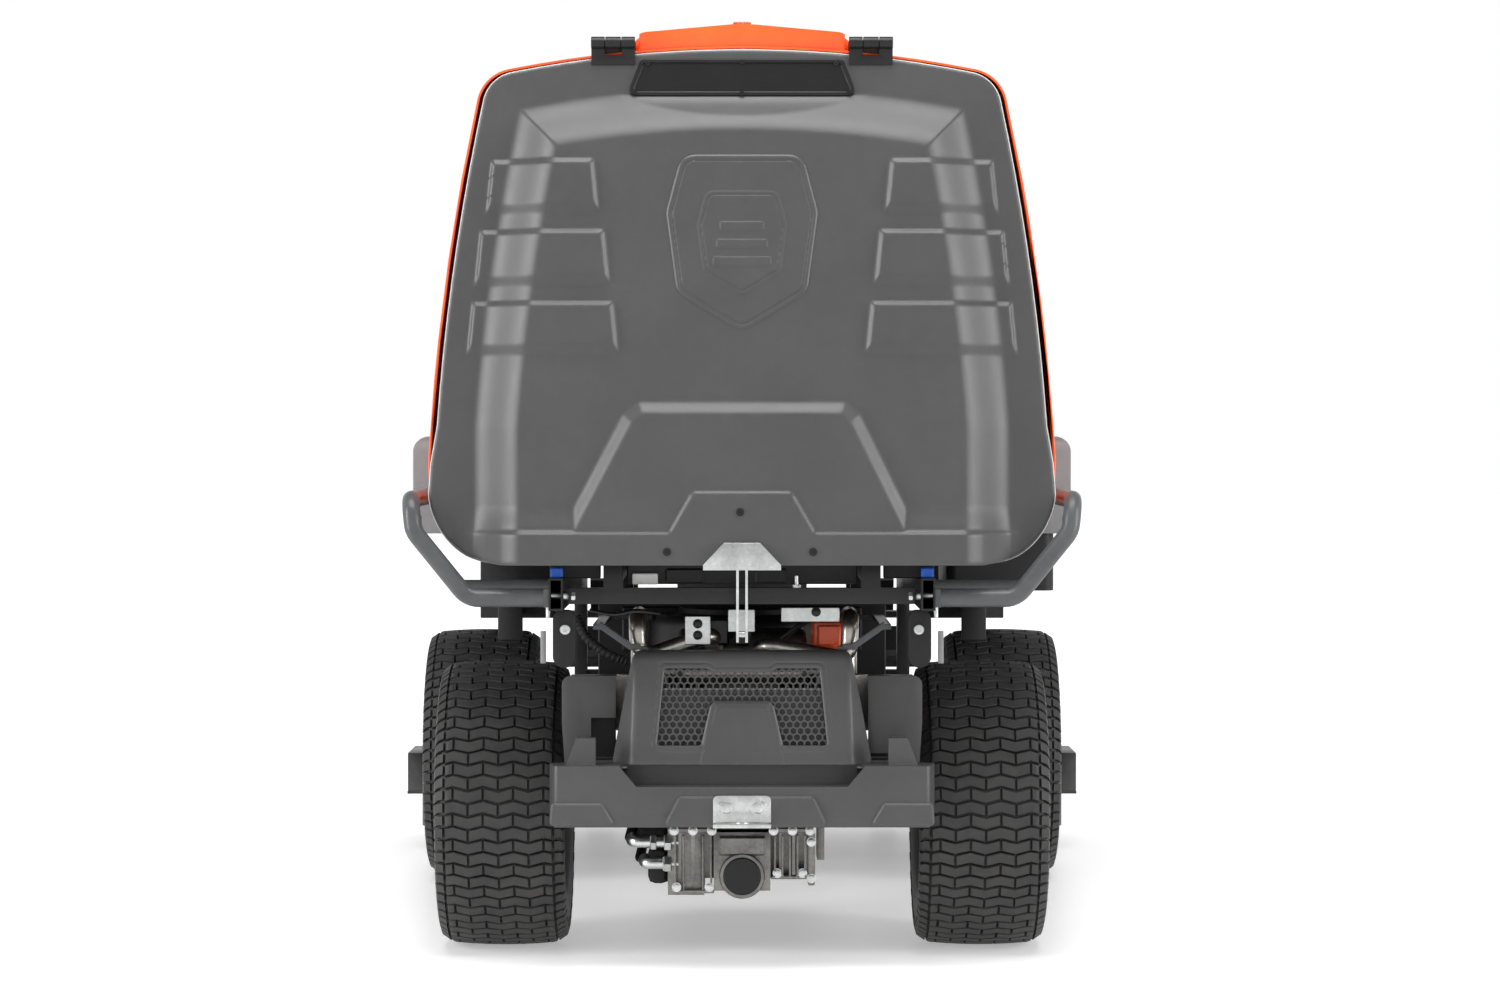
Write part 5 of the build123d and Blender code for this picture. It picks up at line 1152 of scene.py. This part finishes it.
capNeck += [slab(0.470 + 0.031 * math.cos(a) - 0.002, 0.470 + 0.031 * math.cos(a) + 0.002,
                 -0.120 + 0.031 * math.sin(a) - 0.002, -0.120 + 0.031 * math.sin(a) + 0.002, 0.8310, 0.8470, 0.0006)
            for a in [k * math.pi / 8 for k in range(16)]]
made("fuelCap", capNeck, "capBlack", "front_chassis", "black_plastic")
print("small parts made")


# the seat pads are blown up a little as cloth, then their seams are pressed in
clothFrames = 18


def pad(node, voxel, cap, seams, shrink=0.004):
    piece = bpy.data.objects.new(node + "Pad", nodes[node].data.copy())
    shown.collection.objects.link(piece)
    finishMesh(piece)
    piece.data.materials.clear()
    piece.data.materials.append(paint["seatVinyl"])
    mesh = piece.modifiers.new("even", "REMESH")
    mesh.mode = "VOXEL"
    mesh.voxel_size = voxel
    bake(piece)
    with edited(piece.data) as work:
        bmesh.ops.recalc_face_normals(work, faces=work.faces)
        work.normal_update()
        for vert in work.verts:
            vert.co -= vert.normal * shrink
        bmesh.ops.smooth_vert(work, verts=work.verts, factor=0.5, use_axis_x=True, use_axis_y=True, use_axis_z=True)
    start = np.empty(len(piece.data.vertices) * 3)
    piece.data.vertices.foreach_get("co", start)
    start = start.reshape(-1, 3)
    cloth = piece.modifiers.new("cloth", "CLOTH")
    cloth.settings.use_pressure = True
    cloth.settings.uniform_pressure_force = 4.0
    cloth.settings.quality = 4
    cloth.settings.effector_weights.gravity = 0.0
    for step in range(1, clothFrames + 1):
        shown.frame_set(step)
    bake(piece)
    shown.frame_set(1)
    now = np.empty(len(piece.data.vertices) * 3)
    piece.data.vertices.foreach_get("co", now)
    now = now.reshape(-1, 3)
    move = now - start
    far = np.linalg.norm(move, axis=1, keepdims=True)
    move = move * np.minimum(1.0, cap / np.maximum(far, 1e-9))
    low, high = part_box(node)
    now = np.clip(start + move, np.array(low) + 0.0005, np.array(high) - 0.0005)
    piece.data.vertices.foreach_set("co", now.reshape(-1))
    with edited(piece.data) as work:
        work.normal_update()
        for vert in work.verts:
            press = sum(depth * math.exp(-(gap(vert.co) / wide) ** 2) for gap, wide, depth in seams)
            vert.co -= vert.normal * press
    for face in piece.data.polygons:
        face.use_smooth = True
    rounder = piece.modifiers.new("rounder", "SUBSURF")
    rounder.levels = rounder.render_levels = 1
    bake(piece)
    return place(piece, "seat", "seat_vinyl", node)


def seamsOf(edge, axis, rows):
    # two long seams at the sides and short ones between them
    across = [(lambda p, at=at: abs(p[axis] - at) if abs(p.x) < edge else 9.0, 0.004, 0.004) for at in rows]
    return [(lambda p: abs(abs(p.x) - edge), 0.004, 0.006)] + across


pad("seat_cushion", 0.006, 0.012, seamsOf(0.145, 1, (-0.18, -0.06, 0.04)))
pad("seat_back", 0.006, 0.012, seamsOf(0.150, 2, (0.87, 0.98, 1.09)))
print("seat pads made")

for shape in patterns:
    bpy.data.objects.remove(shape)
print("patterns cleared")

# CAD nodes that keep their own mesh
for name, node in nodes.items():
    node.data.materials.clear()
    node.data.materials.append(paint[slotFinish[slotOf[name]]])
    for face in node.data.polygons:
        face.use_smooth = True
    node.data.set_sharp_from_angle(angle=math.radians(32))

# floor, light and camera; the floor turns plain white away from the object
stage = dict(floorHalf=40.0, fade=(1.4, 4.5), near=0.34, world=1.0)
floorMesh = bpy.data.meshes.new("floor")
half = stage["floorHalf"]
floorMesh.from_pydata([(-half, -half, 0), (half, -half, 0), (half, half, 0), (-half, half, 0)], [], [(0, 1, 2, 3)])
floor = bpy.data.objects.new("floor", floorMesh)
shown.collection.objects.link(floor)
floorLook = bpy.data.materials.new("paleFloor")
floorLook.use_nodes = True
floorShader = floorLook.node_tree.nodes["Principled BSDF"]
floorStart = Wire(floorLook.node_tree)
floorPlace = floorStart.node("TexCoord", out=3)
floorTone = floorPlace.noise(1.2, 2).spread(0.3, 0.7).blend(rgb(226, 226, 226), rgb(232, 232, 232))
away = floorPlace.node("VectorMath", {0: floorPlace}, out=1, operation="LENGTH").spread(*stage["fade"])
floorTone = away.blend(floorTone, (0.0, 0.0, 0.0, 1.0))
floorLook.node_tree.links.new(floorTone.socket, floorShader.inputs["Base Color"])
near = stage["near"]
floorGlow = away.blend((near, near, near, 1.0), (1.0, 1.0, 1.0, 1.0))
floorLook.node_tree.links.new(floorGlow.socket, floorShader.inputs["Emission Color"])
floorShader.inputs["Emission Strength"].default_value = 1.0
floorShader.inputs["Roughness"].default_value = 0.35
floorShader.inputs["Specular IOR Level"].default_value = 0.25
floorMesh.materials.append(floorLook)

world = bpy.data.worlds.new("studio")
shown.world = world
world.use_nodes = True
worldNodes = Wire(world.node_tree)
toward = worldNodes.node("TexCoord", out=0)
height = toward.node("SeparateXYZ", {0: toward}, out=2)
# white round the horizon, dimmer overhead so that forms keep their shading
skyTone = height.spread(0.30, 0.62).blend((1.0, 1.0, 1.0, 1.0), (0.30, 0.30, 0.30, 1.0))
world.node_tree.links.new(skyTone.socket, world.node_tree.nodes["Background"].inputs[0])
world.node_tree.nodes["Background"].inputs[1].default_value = stage["world"]


def softLight(name, spot, aim, size, power):
    light = bpy.data.lights.new(name, "AREA")
    light.shape = "RECTANGLE"
    light.size, light.size_y = size
    light.energy = power
    lamp = bpy.data.objects.new(name, light)
    lamp.location = spot
    lamp.rotation_euler = (Vector(aim) - Vector(spot)).to_track_quat("-Z", "Y").to_euler()
    shown.collection.objects.link(lamp)


softLight("leftBox", (-3.6, -2.4, 1.6), (0, -0.9, 0.9), (1.0, 2.6), 110)
softLight("rightBox", (3.6, -2.4, 1.6), (0, -0.9, 0.9), (1.0, 2.6), 90)
softLight("topBox", (0, -1.9, 4.2), (0, -0.7, 0.7), (3.4, 1.8), 150)

shown.view_settings.view_transform = "Standard"
lens = bpy.data.cameras.new("lens")
lens.lens = 95.4
lens.sensor_width = 36
camera = bpy.data.objects.new("camera", lens)
camera.location = (0, -7.28, 0.845)
camera.rotation_euler = (math.radians(90 - 1.06), 0, math.radians(-0.115))
shown.collection.objects.link(camera)
shown.camera = camera
